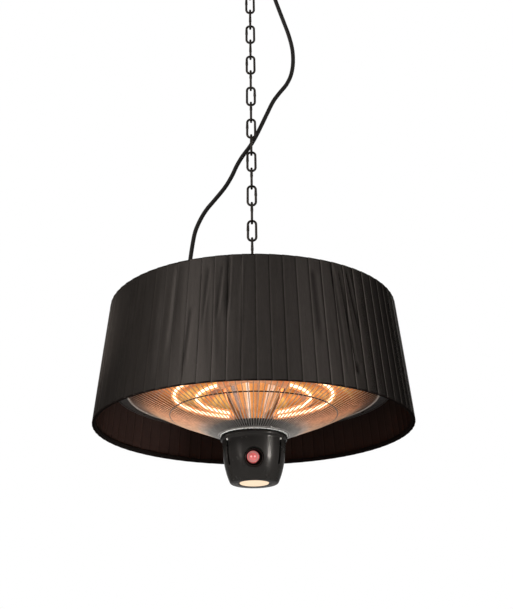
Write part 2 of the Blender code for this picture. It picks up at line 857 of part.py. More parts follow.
# Grille, collar, inner plate and column
def grille():
    flange_under = above_edge(FLANGE_HEIGHT) - GAP
    outer_z = flange_under - GRILLE_OUTER_RING / 2
    rings = (
        (GRILLE_OUTER_RADIUS, outer_z, GRILLE_OUTER_RING),
        (GRILLE_MIDDLE_RADIUS, above_edge(GRILLE_MIDDLE_HEIGHT), GRILLE_MIDDLE_RING),
        (GRILLE_INNER_RADIUS, above_edge(GRILLE_INNER_HEIGHT), GRILLE_INNER_RING),
    )
    wire = bent_wire(
        "one_wire", [(r, 0, z) for r, z, _ in rings], GRILLE_WIRE, None, resolution=0
    )
    wire = as_mesh(wire)
    bm = bmesh.new()
    for number in range(GRILLE_WIRES):
        turned_copy = wire.data.copy()
        turned_copy.transform(Matrix.Rotation((number + 0.5) * FULL_TURN / GRILLE_WIRES, 4, "Z"))
        bm.from_mesh(turned_copy)
        bpy.data.meshes.remove(turned_copy)
    bpy.data.objects.remove(wire, do_unlink=True)
    mesh = bpy.data.meshes.new("grille")
    bm.to_mesh(mesh)
    bm.free()
    cage = add_object("grille", mesh, WIRE_STEEL)
    for r, z, diameter in rings:
        ring = turned_ring(
            "grille_ring", round_profile(r, z, diameter / 2, WIRE_SIDES), None, GRILLE_WIRES
        )
        join(cage, ring)
    return cage


def middle_pieces():
    collar_bottom = NOSE_TOP + GAP
    collar = turned_ring(
        "grille_collar",
        box_profile(
            base_radius() + GAP,
            COLLAR_RADIUS,
            above_edge(collar_bottom),
            above_edge(collar_bottom + COLLAR_HEIGHT),
        ),
        POLISHED,
        MIDDLE_STEPS,
    )
    plate_top = INNER_PLATE_HEIGHT + INNER_PLATE_THICKNESS
    plate = turned_ring(
        "inner_plate",
        box_profile(
            BASE_WIRE_HOLE, INNER_PLATE_RADIUS, above_edge(INNER_PLATE_HEIGHT), above_edge(plate_top)
        ),
        BLACK_PAINT,
        MIDDLE_STEPS,
    )
    column_bottom = above_edge(plate_top) + GAP
    column_rise = reflector_back(COLUMN_RADIUS) - REFLECTOR_WALL - 2 * GAP - column_bottom
    column = turned_shell(
        "center_column",
        [(r * COLUMN_RADIUS, column_bottom + z * column_rise) for r, z in COLUMN_PROFILE_SHARES],
        COLUMN_WALL,
        POLISHED,
        MIDDLE_STEPS,
    )
    return collar, plate, column


# Heating tubes and their holders
def tube_ends(radius):
    """The angles of a right-hand tube's front and rear ends, from straight to the right."""
    return -math.acos(TUBE_FRONT_END / radius), math.acos(TUBE_REAR_END / radius)


def heating_tubes():
    tubes = []
    for name, radius, height in (
        ("outer", OUTER_TUBE_RADIUS, OUTER_TUBE_HEIGHT),
        ("inner", INNER_TUBE_RADIUS, INNER_TUBE_HEIGHT),
    ):
        start, end = tube_ends(radius)
        for side_name, side in (("right", 1), ("left", -1)):
            points = [
                (side * x, y, above_edge(height)) for x, y in arc(radius, start, end, TUBE_POINTS)
            ]
            tubes.append(
                bent_wire(f"heating_tube_{name}_{side_name}", points, TUBE_DIAMETER, HOT_TUBE)
            )
    return tubes


def tube_holder(name, front):
    """A post with four ceramic sockets, in line with the tubes' ends."""
    sockets = []
    reach = []
    for radius, height in (
        (OUTER_TUBE_RADIUS, OUTER_TUBE_HEIGHT),
        (INNER_TUBE_RADIUS, INNER_TUBE_HEIGHT),
    ):
        start, end = tube_ends(radius)
        angle = start if front else end
        tip = Vector((radius * math.cos(angle), radius * math.sin(angle), above_edge(height)))
        along = Vector((-math.sin(angle), math.cos(angle), 0))
        if front:
            along = -along
        root = tip + along * (tip.x / -along.x)
        reach.append(root.y)
        for side in (-1, 1):
            mirror = Vector((side, 1, 1))
            mouth = (tip + along * 2 * GAP) * mirror
            sockets.append(rod("socket", mouth, root * mirror, SOCKET_RADIUS, None, TINY_STEPS))
    near, far = sorted(reach)
    length = far - near + 2 * (SOCKET_RADIUS + HOLDER_MARGIN)
    middle_y = (near + far) / 2
    middle_z = above_edge((OUTER_TUBE_HEIGHT + INNER_TUBE_HEIGHT) / 2)
    holder = block(name, (HOLDER_WIDTH, length, HOLDER_HEIGHT), (0, middle_y, middle_z), CERAMIC)
    post_top = reflector_back(abs(middle_y) + POST_DEPTH / 2) - REFLECTOR_WALL - 3 * GAP
    post_height = post_top - middle_z
    post = block(
        "post", (POST_WIDTH, POST_DEPTH, post_height), (0, middle_y, middle_z + post_height / 2), None
    )
    for piece in (post, *sockets):
        join(holder, piece)
    return holder


# Nose
def base_radius():
    """The plug that fills the top of the nose's cup."""
    cup_inside = NOSE_PROFILE_SHARES[0][0] * NOSE_RADIUS - NOSE_WALL
    return cup_inside * math.cos(math.pi / MIDDLE_STEPS) - 2 * GAP


def nose():
    lamp_hole = (LAMP_RADIUS + GAP) / math.cos(math.pi / MIDDLE_STEPS)
    cup = turned_shell(
        "nose_housing",
        [*nose_profile(), (lamp_hole, above_edge(NOSE_BOTTOM))],
        NOSE_WALL,
        SATIN_BLACK,
        MIDDLE_STEPS,
    )
    bore = rod(
        "receiver_bore",
        (0, -NOSE_RADIUS - OVERRUN, above_edge(RECEIVER_HEIGHT)),
        (0, -NOSE_RADIUS / 2, above_edge(RECEIVER_HEIGHT)),
        BORE_RADIUS,
        None,
        MIDDLE_STEPS,
    )
    cut(cup, bore)

    top = above_edge(INNER_PLATE_HEIGHT) - GAP
    bottom = above_edge(NOSE_TOP - BASE_DEPTH)
    base = turned_ring(
        "nose_base", box_profile(BASE_WIRE_HOLE, base_radius(), bottom, top), SATIN_BLACK, MIDDLE_STEPS
    )
    for side in (-1, 1):
        standoff = rod(
            "standoff",
            (side * STANDOFF_PLACE, 0, bottom - STANDOFF_LENGTH),
            (side * STANDOFF_PLACE, 0, (bottom + top) / 2),
            STANDOFF_RADIUS,
            None,
            TINY_STEPS,
        )
        join(base, standoff)

    screws = []
    for side_name, side in (("left", -1), ("right", 1)):
        out = Vector((side * math.sin(SLOT_TURN), -math.cos(SLOT_TURN), 0))
        middle = out * NOSE_RADIUS + Vector((0, 0, above_edge(SLOT_TOP - SLOT_HEIGHT / 2)))
        slot = block(
            "nose_slot", (SLOT_WIDTH, 6 * NOSE_WALL, SLOT_HEIGHT), middle - out * NOSE_WALL, None,
            side * SLOT_TURN,
        )
        cut(cup, slot)
        screw_z = Vector((0, 0, bottom - NOSE_SCREW_RADIUS))
        inner = out * (base_radius() + GAP) + screw_z
        screws.append(
            rod(
                f"nose_screw_{side_name}",
                inner - out * NOSE_SCREW_LENGTH + out * (NOSE_WALL + 2 * GAP),
                inner + out * (NOSE_WALL + 2 * GAP),
                NOSE_SCREW_RADIUS,
                ZINC,
                TINY_STEPS,
            )
        )

    lamp_bottom = above_edge(NOSE_BOTTOM)
    lamp = turned_solid(
        "led_lens",
        disc_profile(LAMP_RADIUS, lamp_bottom, lamp_bottom + LAMP_THICKNESS),
        WARM_LAMP,
        MIDDLE_STEPS,
    )
    lamp_board_bottom = lamp_bottom + LAMP_THICKNESS + GAP
    lamp_board = turned_solid(
        "led_board",
        disc_profile(LAMP_BOARD_RADIUS, lamp_board_bottom, lamp_board_bottom + LAMP_BOARD_THICKNESS),
        GREEN_BOARD,
        MIDDLE_STEPS,
    )
    board_top = bottom - STANDOFF_LENGTH - GAP
    control = turned_solid(
        "control_board",
        disc_profile(CONTROL_BOARD_RADIUS, board_top - CONTROL_BOARD_THICKNESS, board_top),
        GREEN_BOARD,
        MIDDLE_STEPS,
    )
    return cup, base, *screws, lamp, lamp_board, control


def receiver():
    """The bezel tube and the red lens at its bottom, turned upright and then laid towards the front."""
    face_front = Matrix.Rotation(math.pi / 2, 4, "X")
    height = above_edge(RECEIVER_HEIGHT)
    outer = BORE_RADIUS * math.cos(math.pi / MIDDLE_STEPS) - GAP
    bezel = turned_solid(
        "receiver_bezel",
        [
            (0, -BEZEL_DEPTH + BEZEL_FLOOR),
            (outer - BEZEL_WALL, -BEZEL_DEPTH + BEZEL_FLOOR),
            (outer - BEZEL_WALL, 0),
            (outer, 0),
            (outer, -BEZEL_DEPTH),
            (0, -BEZEL_DEPTH),
        ],
        SATIN_BLACK,
        MIDDLE_STEPS,
    )
    lens_back = -BEZEL_DEPTH + BEZEL_FLOOR + GAP
    lens = turned_solid(
        "receiver_lens",
        disc_profile(LENS_RADIUS, lens_back, lens_back + LENS_THICKNESS),
        RED_LENS,
        MIDDLE_STEPS,
    )
    for piece, shift, rise in ((bezel, 0, 0), (lens, LENS_SHIFT, LENS_RAISE)):
        piece.matrix_world = Matrix.Translation((shift, -BEZEL_FRONT, height + rise)) @ face_front
    return bezel, lens


# Inner parts above the reflector
def inner_parts():
    seat = reflector_back(REFLECTOR_HOLE) + GAP
    terminal = block(
        "terminal_block",
        (TERMINAL_WIDTH, TERMINAL_LENGTH, TERMINAL_HEIGHT),
        (TERMINAL_PLACE - TERMINAL_WIDTH, 0, seat + TERMINAL_HEIGHT / 2),
        CERAMIC,
    )
    for way in range(TERMINAL_WAYS):
        place = (way - (TERMINAL_WAYS - 1) / 2) * TERMINAL_LENGTH / TERMINAL_WAYS
        top = seat + TERMINAL_HEIGHT
        hole = rod(
            "terminal_way",
            (TERMINAL_PLACE - TERMINAL_WIDTH, place, top - TERMINAL_WAY_DEPTH),
            (TERMINAL_PLACE - TERMINAL_WIDTH, place, top + OVERRUN),
            TERMINAL_WAY_RADIUS,
            None,
            TINY_STEPS,
        )
        cut(terminal, hole)
    cutout = turned_solid(
        "thermal_cutout", disc_profile(CUTOUT_RADIUS, seat, seat + CUTOUT_HEIGHT), ZINC, SMALL_STEPS
    )
    cutout.location = (-CUTOUT_PLACE + CUTOUT_RADIUS, 0, 0)
    return terminal, cutout


# Supply cable
def cable():
    top = HOUSING_TOP_Z
    gland = turned_solid(
        "cable_gland",
        [
            (0, top + GLAND_HEIGHT),
            (BOOT_RADIUS, top + GLAND_HEIGHT),
            (GLAND_RADIUS, top + GLAND_HEIGHT - GLAND_FLANGE),
            (GLAND_RADIUS, top + GAP),
            (GLAND_SPIGOT, top + GAP),
            (GLAND_SPIGOT, top - GLAND_SPIGOT_LENGTH),
            (0, top - GLAND_SPIGOT_LENGTH),
        ],
        BLACK_RUBBER,
        SMALL_STEPS,
    )
    boot_bottom = top + GLAND_HEIGHT + GAP
    boot_top = boot_bottom + BOOT_LENGTH
    boot = turned_solid(
        "strain_relief",
        [(0, boot_top), (BOOT_TIP_RADIUS, boot_top), (BOOT_RADIUS, boot_bottom), (0, boot_bottom)],
        BLACK_RUBBER,
        SMALL_STEPS,
    )
    for piece in (gland, boot):
        piece.location = (GLAND_X, GLAND_Y, 0)
    start = (GLAND_X, GLAND_Y, boot_top + GAP)
    end = (ROSE_GLAND_X, 0, -ROSE_HEIGHT - ROSE_GLAND_HEIGHT - GAP)
    route = smooth_route([start, *CABLE_ROUTE, end], CABLE_POINTS)
    cord = bent_wire("power_cord", route, CABLE_DIAMETER, BLACK_RUBBER)
    return gland, boot, cord


ceiling_fitting()
links = chain()
hook, gate_axis = snap_hook()
gland, boot, cord = cable()

top_link_axis = make_axis("top_link_axis", HOOK_Z)
second_link_axis = make_axis("second_link_axis", link_top_z(0) - LINK_SPAN)
chain_axis = make_axis("chain_axis", link_top_z(1) - LINK_SPAN)
snap_hook_axis = make_axis("snap_hook_axis", LAST_LINK_BOTTOM_Z)
heater_axis = make_axis("heater_axis", SNAP_BOTTOM_Z)

carry(top_link_axis, links[0])
carry(second_link_axis, links[1])
carry(chain_axis, *links[2:], cord)
carry(snap_hook_axis, hook, gate_axis)
carry(
    heater_axis,
    *eye_bolt(),
    *shade(),
    *head(),
    grille(),
    *middle_pieces(),
    *heating_tubes(),
    tube_holder("tube_holder_rear", False),
    tube_holder("tube_holder_front", True),
    *nose(),
    *receiver(),
    *inner_parts(),
    gland,
    boot,
)
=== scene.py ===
"""Looks of the hanging patio heater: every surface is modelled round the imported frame.

Metres, +Z up, in the frame's own place: the origin is the middle of the ceiling plate's upper face.
Heights on the heater's head are given above the shade's lower edge, as on_head() takes them.
"""

import math
import random

import bpy
from mathutils import Matrix, Vector, noise


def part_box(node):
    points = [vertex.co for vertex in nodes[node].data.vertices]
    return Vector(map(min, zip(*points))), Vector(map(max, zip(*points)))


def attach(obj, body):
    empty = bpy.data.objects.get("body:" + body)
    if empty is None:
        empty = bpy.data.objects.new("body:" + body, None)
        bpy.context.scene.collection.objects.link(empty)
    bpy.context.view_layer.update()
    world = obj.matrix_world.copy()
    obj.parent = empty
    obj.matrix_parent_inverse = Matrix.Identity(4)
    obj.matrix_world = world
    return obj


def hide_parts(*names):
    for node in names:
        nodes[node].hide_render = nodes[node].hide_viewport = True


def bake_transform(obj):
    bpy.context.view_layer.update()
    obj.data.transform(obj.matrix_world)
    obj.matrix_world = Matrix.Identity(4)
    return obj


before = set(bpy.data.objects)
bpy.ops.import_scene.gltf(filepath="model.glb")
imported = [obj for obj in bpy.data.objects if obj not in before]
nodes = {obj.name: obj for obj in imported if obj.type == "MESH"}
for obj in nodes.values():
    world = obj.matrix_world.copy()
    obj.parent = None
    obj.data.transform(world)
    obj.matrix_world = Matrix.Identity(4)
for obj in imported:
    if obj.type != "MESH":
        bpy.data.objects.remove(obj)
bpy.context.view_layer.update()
chance = random.Random(7)

FULL_TURN = 2 * math.pi

# In metres: the distance at which points merge, and how near two heights are to count as one
MERGE = 0.00002
SAME_PLACE = 0.00001

# The gap between pieces that meet, and how far a bore reaches past the wall that it cuts
GAP = 0.0003
BORE_REACH = 0.01

# Edges with a turn above this, in degrees, are shaded sharp and get a bevel
SHARP_ANGLE = 35

# Camera: the photograph's view, found from the shade's rims, the chain and the nose
LENS_MM = 59.38
SENSOR_MM = 36
CAMERA_DISTANCE = 1.4638
CAMERA_BELOW_EDGE = 0.3895
CAMERA_PITCH = math.radians(21.94)
CAMERA_YAW = math.radians(-0.232)
CAMERA_ROLL = math.radians(-0.60)


def heights(node):
    """The world heights of a node's lower and upper ends."""
    low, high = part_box(node)
    return low[2], high[2]


# Places read from the frame
shade_low, shade_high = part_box("shade_fabric")
EDGE_Z = shade_low[2]
SHADE_RADIUS = shade_high[0]
SHADE_HEIGHT = shade_high[2] - EDGE_Z
HOUSING_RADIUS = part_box("housing")[1][0]
HOUSING_EDGE, HOUSING_TOP = (z - EDGE_Z for z in heights("housing"))
NOSE_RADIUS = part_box("nose_housing")[1][0]
NOSE_BOTTOM, NOSE_TOP = (z - EDGE_Z for z in heights("nose_housing"))
ROSE_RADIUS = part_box("ceiling_rose")[1][0]
ROSE_FLOOR = heights("ceiling_rose")[0]

# The shade's ribbons: how many, and the share of one that the first seam stands from straight right
STRIPS = 75
STRIP_TURN = 0.458
RIBBON_WIDTH = FULL_TURN * SHADE_RADIUS / STRIPS


def on_head(height):
    """The world height of a place on the head, given above the shade's lower edge."""
    return EDGE_Z + height


# Working with objects as by hand
def pick(*objects):
    bpy.ops.object.select_all(action="DESELECT")
    for obj in objects:
        obj.select_set(True)
    bpy.context.view_layer.objects.active = objects[0]


def edit(obj):
    pick(obj)
    bpy.ops.object.mode_set(mode="EDIT")
    bpy.ops.mesh.select_mode(type="VERT")


def edit_all(obj):
    edit(obj)
    bpy.ops.mesh.select_all(action="SELECT")


def leave():
    bpy.ops.object.mode_set(mode="OBJECT")


def choose(obj, test):
    """Stay in edit mode with just the points selected that pass the test."""
    edit(obj)
    bpy.ops.mesh.select_all(action="DESELECT")
    leave()
    for vertex in obj.data.vertices:
        vertex.select = test(vertex.co)
    edit(obj)


def settle(obj):
    """Put the object's place into its mesh."""
    pick(obj)
    bpy.ops.object.transform_apply(location=True, rotation=True, scale=True)
    return obj


def added(add, name, **values):
    """Add a simple shape with nothing else selected, and put its place into its mesh."""
    bpy.ops.object.select_all(action="DESELECT")
    add(**values)
    obj = bpy.context.object
    obj.name = name
    return settle(obj)


def face_out(obj):
    edit_all(obj)
    bpy.ops.mesh.remove_doubles(threshold=MERGE)
    bpy.ops.mesh.normals_make_consistent(inside=False)
    leave()
    return obj


def smooth(obj, angle=SHARP_ANGLE):
    pick(obj)
    bpy.ops.object.shade_smooth_by_angle(angle=math.radians(angle))
    return obj


def modified(obj, kind, **values):
    """Add one modifier with its settings and apply it."""
    modifier = obj.modifiers.new(kind.lower(), kind)
    for key, value in values.items():
        setattr(modifier, key, value)
    pick(obj)
    bpy.ops.object.modifier_apply(modifier=modifier.name)
    return obj


def bevel(obj, width, segments=2, angle=SHARP_ANGLE):
    return modified(
        obj, "BEVEL", width=width, segments=segments, limit_method="ANGLE",
        angle_limit=math.radians(angle), miter_outer="MITER_ARC",
    )


def boolean(obj, other, operation="DIFFERENCE"):
    modified(obj, "BOOLEAN", operation=operation, solver="EXACT", object=other)
    bpy.data.objects.remove(other, do_unlink=True)
    return obj


def joined(name, pieces):
    pick(*pieces)
    if len(pieces) > 1:
        bpy.ops.object.join()
    pieces[0].name = name
    pieces[0].data.name = name
    return pieces[0]


def moved(obj, matrix):
    """Turn and shift the mesh, and leave the object at the origin."""
    obj.data.transform(matrix)
    return obj


def copy_of(obj, matrix, name=None):
    """A copy with its own mesh, moved by the matrix."""
    twin = obj.copy()
    twin.data = obj.data.copy()
    bpy.context.scene.collection.objects.link(twin)
    if name:
        twin.name = name
        twin.data.name = name
    return moved(twin, matrix)


def about_axis(degrees):
    return Matrix.Rotation(math.radians(degrees), 4, "Z")


def turned(name, profile, steps=96, closed=False, filled=False):
    """Draw a ring and extrude it from place to place along an outline of (radius, height)."""
    radius, height = profile[0]
    obj = added(
        bpy.ops.mesh.primitive_circle_add, name, vertices=steps, radius=radius, location=(0, 0, height)
    )
    edit_all(obj)
    if filled:
        bpy.ops.mesh.extrude_edges_move()
        bpy.ops.mesh.merge(type="CENTER")
        leave()
        choose(obj, lambda place: place.xy.length > radius / 2)
    stations = profile[1:] + (profile[:1] if closed else [])
    for next_radius, next_height in stations:
        bpy.ops.mesh.extrude_edges_move(
            TRANSFORM_OT_translate={"value": (0, 0, next_height - height)}
        )
        share = next_radius / radius
        bpy.ops.transform.resize(value=(share, share, 1), center_override=(0, 0, next_height))
        radius, height = next_radius, next_height
    if filled:
        bpy.ops.mesh.extrude_edges_move()
        bpy.ops.mesh.merge(type="CENTER")
    leave()
    return smooth(face_out(obj))


def shell(name, profile, wall, steps=96):
    """A thin turned wall inside an outline that runs down its outer side."""
    obj = turned(name, profile, steps)
    probe = obj.data.polygons[0]
    if probe.normal.dot(Vector((probe.center.x, probe.center.y, 1))) < 0:
        edit_all(obj)
        bpy.ops.mesh.flip_normals()
        leave()
    modified(obj, "SOLIDIFY", thickness=wall, offset=-1.0, use_even_offset=True)
    return smooth(obj)


def flat_ring(name, inner, outer, low, high, steps, edge):
    """A turned ring with a four-cornered section and bevelled edges."""
    profile = [(inner, high), (outer, high), (outer, low), (inner, low)]
    return smooth(bevel(turned(name, profile, steps, closed=True), edge))


def arc(radius, start, end, count, middle=(0, 0)):
    """Points on an arc as (across, up) pairs, in degrees, both ends included."""
    turn = [math.radians(start + (end - start) * i / (count - 1)) for i in range(count)]
    return [(middle[0] + radius * math.cos(t), middle[1] + radius * math.sin(t)) for t in turn]


def curve_through(places, count):
    """Points on a smooth curve through the places, a number of them from each place to the next."""
    rows = [2 * places[0] - places[1], *places, 2 * places[-1] - places[-2]]
    fine = []
    for a, b, c, d in zip(rows, rows[1:], rows[2:], rows[3:]):
        for i in range(count):
            t = i / count
            straight = 2 * b + (c - a) * t
            bend = (2 * a - 5 * b + 4 * c - d) * t * t + (3 * b - 3 * c + d - a) * t * t * t
            fine.append((straight + bend) / 2)
    return [*fine, places[-1]]


def eased(outline, count):
    """More points on a smooth curve through an outline's points."""
    return [(p.x, p.y) for p in curve_through([Vector((r, z, 0)) for r, z in outline], count)]


def rod(name, points, radius, sides=12, tip_round=0.0):
    """A round wire along a row of points, drawn as a curve and made a mesh."""
    bpy.ops.object.select_all(action="DESELECT")
    bpy.ops.curve.primitive_bezier_curve_add(location=(0, 0, 0))
    obj = bpy.context.object
    obj.name = name
    curve = obj.data
    curve.splines.clear()
    spline = curve.splines.new("POLY")
    spline.points.add(len(points) - 1)
    for point, place in zip(spline.points, points):
        point.co = (*place, 1)
    curve.dimensions = "3D"
    curve.twist_mode = "MINIMUM"
    curve.bevel_depth = radius
    curve.bevel_resolution = (sides - 4) // 2
    curve.use_fill_caps = True
    bpy.ops.object.convert(target="MESH")
    obj = face_out(bpy.context.object)
    if tip_round:
        bevel(obj, tip_round, 2, 60)
    return smooth(obj)


def cylinder(name, start, end, radius, sides=24, edge=0.0):
    """A round bar between two places, with its rims bevelled."""
    start, end = Vector(start), Vector(end)
    along = end - start
    obj = added(
        bpy.ops.mesh.primitive_cylinder_add, name, vertices=sides, radius=radius, depth=along.length,
        location=(start + end) / 2, rotation=along.to_track_quat("Z", "Y").to_euler(),
    )
    if edge:
        bevel(obj, edge)
    return smooth(obj)


def block(name, low, high, edge):
    low, high = Vector(low), Vector(high)
    obj = added(
        bpy.ops.mesh.primitive_cube_add, name, size=1, location=(low + high) / 2, scale=high - low
    )
    return smooth(bevel(obj, edge, 3))


def ring(name, radius, wire, height, steps=160, sides=12):
    obj = added(
        bpy.ops.mesh.primitive_torus_add, name, major_radius=radius, minor_radius=wire,
        major_segments=steps, minor_segments=sides, location=(0, 0, height),
    )
    return smooth(obj, 180)


def bored(obj, middle, radius):
    """Cut an upright round hole through a wall."""
    reach = Vector((0, 0, BORE_REACH))
    return smooth(boolean(obj, cylinder("hole", middle - reach, middle + reach, radius)))


def paint(obj, *materials):
    obj.data.materials.clear()
    for material in materials:
        obj.data.materials.append(material)


def finish_piece(obj, body, material, slot, *replaced):
    paint(obj, material)
    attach(obj, body)
    if replaced:
        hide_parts(*replaced)
    return obj


# Materials
def fed(tree, kind, output, inputs, **settings):
    """A new node with its settings, and each input set or linked; one of its outputs comes back."""
    made = tree.nodes.new(kind)
    for key, value in settings.items():
        setattr(made, key, value)
    for socket, value in inputs.items():
        if isinstance(value, bpy.types.NodeSocket):
            tree.links.new(value, made.inputs[socket])
        else:
            made.inputs[socket].default_value = value
    return made.outputs[output]


class Finish:
    """A material whose colour, roughness and relief come from nodes on Object coordinates."""

    def __init__(self, name, colour, roughness, metallic=0.0, **sockets):
        self.material = bpy.data.materials.new(name)
        self.material.use_nodes = True
        self.tree = self.material.node_tree
        self.shader = self.tree.nodes["Principled BSDF"].inputs
        self.colour = colour
        self.roughness = roughness
        self.material.diffuse_color = (*colour, 1)
        for socket, value in (
            ("Base Color", (*colour, 1)), ("Roughness", roughness), ("Metallic", metallic), *sockets.items(),
        ):
            self.shader[socket.replace("_", " ")].default_value = value
        self.where = self.node("ShaderNodeTexCoord", "Object")

    def node(self, kind, output=0, inputs=(), **settings):
        return fed(self.tree, kind, output, dict(inputs), **settings)

    def feed(self, socket, output):
        self.tree.links.new(output, self.shader[socket])

    def worked(self, operation, *values):
        """One sum on values that are sockets or numbers."""
        return self.node("ShaderNodeMath", 0, enumerate(values), operation=operation)

    def split(self, place):
        """The x and y of a place."""
        parts = self.node("ShaderNodeSeparateXYZ", "X", {"Vector": place}).node.outputs
        return parts["X"], parts["Y"]

    def across_axis(self):
        """The place across the object's axis: x, y and the distance from the axis."""
        x, y = self.split(self.where)
        squares = self.worked("ADD", self.worked("POWER", x, 2.0), self.worked("POWER", y, 2.0))
        return x, y, self.worked("SQRT", squares)

    def noisy(self, where, scale, detail):
        inputs = {"Vector": where, "Scale": scale, "Detail": detail}
        return self.node("ShaderNodeTexNoise", "Fac", inputs)

    def spotted(self, scale, detail=3.0, stretch=(1, 1, 1)):
        """Cloudy noise from 0 to 1, stretched along the axes."""
        where = self.node("ShaderNodeMapping", "Vector", {"Vector": self.where, "Scale": stretch})
        return self.noisy(where, scale, detail)

    def waves(self, scale, axis="Z", distortion=0.0, kind="BANDS"):
        inputs = {"Vector": self.where, "Scale": scale, "Distortion": distortion}
        ways = {f"{kind.lower()}_direction": axis}
        return self.node("ShaderNodeTexWave", "Fac", inputs, wave_type=kind, **ways)

    def ranged(self, value, low, high, first=0.3, last=0.7):
        inputs = {"Value": value, "From Min": first, "From Max": last, "To Min": low, "To Max": high}
        return self.node("ShaderNodeMapRange", "Result", inputs)

    def coloured(self, value, stops):
        """A colour that runs through stops of (place, colour) as the value rises."""
        output = self.node("ShaderNodeValToRGB", "Color", {"Fac": value})
        elements = output.node.color_ramp.elements
        while len(elements) < len(stops):
            elements.new(0.5)
        for element, (place, _) in zip(elements, stops):
            element.position = place
        for element, (_, colour) in zip(elements, stops):
            element.color = (*colour, 1)
        return output

    def ramped(self, value, stops, share=1.0):
        """A brightness round 1 that runs through stops of (place, brightness), weakened by a share."""
        halved = [(place, [max(0.0, 1 + (bright - 1) * share) / 2] * 3) for place, bright in stops]
        return self.worked("MULTIPLY", self.coloured(value, halved), 2.0)

    def shade_by(self, value, socket="Base Color"):
        """Multiply the colour made so far by a value."""
        made = self.shader[socket].links[0].from_socket
        scaled = self.node("ShaderNodeVectorMath", "Vector", {0: made, "Scale": value}, operation="SCALE")
        self.feed(socket, scaled)

    def vary_colour(self, value, share):
        """Darken and lighten the colour by a share, as the value goes from low to high."""
        dark = [c * (1 - share) for c in self.colour]
        light = [min(1.0, c * (1 + share)) for c in self.colour]
        self.feed("Base Color", self.coloured(value, ((0.3, dark), (0.7, light))))

    def vary_roughness(self, value, spread):
        low, high = self.roughness - spread, self.roughness + spread
        self.feed("Roughness", self.ranged(value, low, high))

    def relief(self, value, strength, depth):
        inputs = {"Height": value, "Strength": strength, "Distance": depth}
        last = self.shader["Normal"]
        if last.is_linked:
            inputs["Normal"] = last.links[0].from_socket
        self.feed("Normal", self.node("ShaderNodeBump", "Normal", inputs))


# Painted glow and painted reflections of the tubes on polished metal, in streaks from the dark ones to the
# bright ones
DISH_PAINTED_GLOW = (
    (0.34, (0.52, 0.22, 0.14)),
    (0.44, (0.80, 0.25, 0.07)),
    (0.54, (0.90, 0.32, 0.08)),
    (0.64, (1.00, 0.50, 0.13)),
)
COLUMN_PAINTED_GLOW = (
    (0.38, (0.34, 0.24, 0.20)),
    (0.46, (0.68, 0.27, 0.09)),
    (0.56, (0.92, 0.38, 0.11)),
    (0.66, (0.95, 0.80, 0.68)),
)

# How often a streak breaks off in each metre, out from the axis
STREAK_BREAKS = 9.0

# Where the painted shade on the dish begins and ends, and where its painted glow fades out, as distances
# from the axis in metres
DISH_PAINTED_SHADE = (0.152, 0.184)
DISH_FADES = (0.140, 0.185)

# Painted light on the grille's wire, by the distance from the axis in metres: the tubes' warm glow over the
# dish, and painted shade at the collar and towards the outer ring
WIRE_PAINTED_LIGHT = (
    (0.066, (0.190, 0.175, 0.162)),
    (0.077, (0.400, 0.310, 0.250)),
    (0.088, (0.560, 0.335, 0.215)),
    (0.150, (0.500, 0.285, 0.165)),
    (0.172, (0.180, 0.115, 0.080)),
    (0.186, (0.100, 0.075, 0.060)),
    (0.1885, (0.240, 0.200, 0.170)),
)

# Brightness across a ribbon: the next one's shadow at both ends, and light along its raised edge
SEAM_STOPS = (
    (0.0, 0.10), (0.008, 0.16), (0.030, 1.85), (0.085, 1.60), (0.15, 1.0), (0.80, 0.96), (0.900, 0.82),
    (0.950, 0.45), (0.983, 0.12),
)


def plain(name, colour, roughness, metallic=0.0, clouds=None, wear=None, grain=None, **sockets):
    """A finish with spots of (scale, detail, amount) in its colour, its gloss and its surface."""
    finish = Finish(name, colour, roughness, metallic, **sockets)
    if clouds:
        *spots, share = clouds
        finish.vary_colour(finish.spotted(*spots), share)
    if wear:
        *spots, spread = wear
        finish.vary_roughness(finish.spotted(*spots), spread)
    if grain:
        *spots, strength, depth = grain
        finish.relief(finish.spotted(*spots), strength, depth)
    return finish.material


def paint_tube_glow(finish, stops, count, strength):
    """Painted glow and painted reflections of the tubes, in streaks that run out from the middle, as their
    light on polished metal.
    """
    x, y, out = finish.across_axis()
    turn = finish.worked("ARCTAN2", y, x)
    spread = finish.node("ShaderNodeCombineXYZ", "Vector", {
        "X": finish.worked("MULTIPLY", finish.worked("SINE", turn), count),
        "Y": finish.worked("MULTIPLY", finish.worked("COSINE", turn), count),
        "Z": finish.worked("MULTIPLY", out, STREAK_BREAKS),
    })
    colour = finish.coloured(finish.noisy(spread, 1.0, 2.0), stops)
    finish.feed("Base Color", colour)
    finish.feed("Emission Color", colour)
    finish.shader["Emission Strength"].default_value = strength
    return out


def mirror_dish():
    """Polished aluminium with the tubes' painted glow in streaks, and painted shade towards its rim, where
    the painted glow fades out too.
    """
    finish = Finish("mirror_dish", (0.80, 0.34, 0.13), 0.20, 1.0)
    out = paint_tube_glow(finish, DISH_PAINTED_GLOW, 7.0, 0.55)
    # Painted shade towards the rim, and the painted glow fading out there
    finish.shade_by(finish.ranged(out, 1.0, 0.05, *DISH_PAINTED_SHADE))
    finish.shade_by(finish.ranged(out, 1.0, 0.05, *DISH_FADES), "Emission Color")
    finish.vary_roughness(finish.spotted(40, 3), 0.03)
    finish.relief(finish.spotted(18, 1), 0.12, 0.0010)
    finish.relief(finish.waves(700, kind="RINGS"), 0.05, 0.00005)
    return finish.material


def column_metal():
    # The column's streaks are the tubes' painted glow, with a painted white highlight
    finish = Finish("column_metal", (0.80, 0.46, 0.28), 0.14, 1.0)
    paint_tube_glow(finish, COLUMN_PAINTED_GLOW, 5.0, 0.24)
    finish.vary_roughness(finish.spotted(40, 3), 0.03)
    finish.relief(finish.spotted(22, 2), 0.15, 0.0006)
    return finish.material


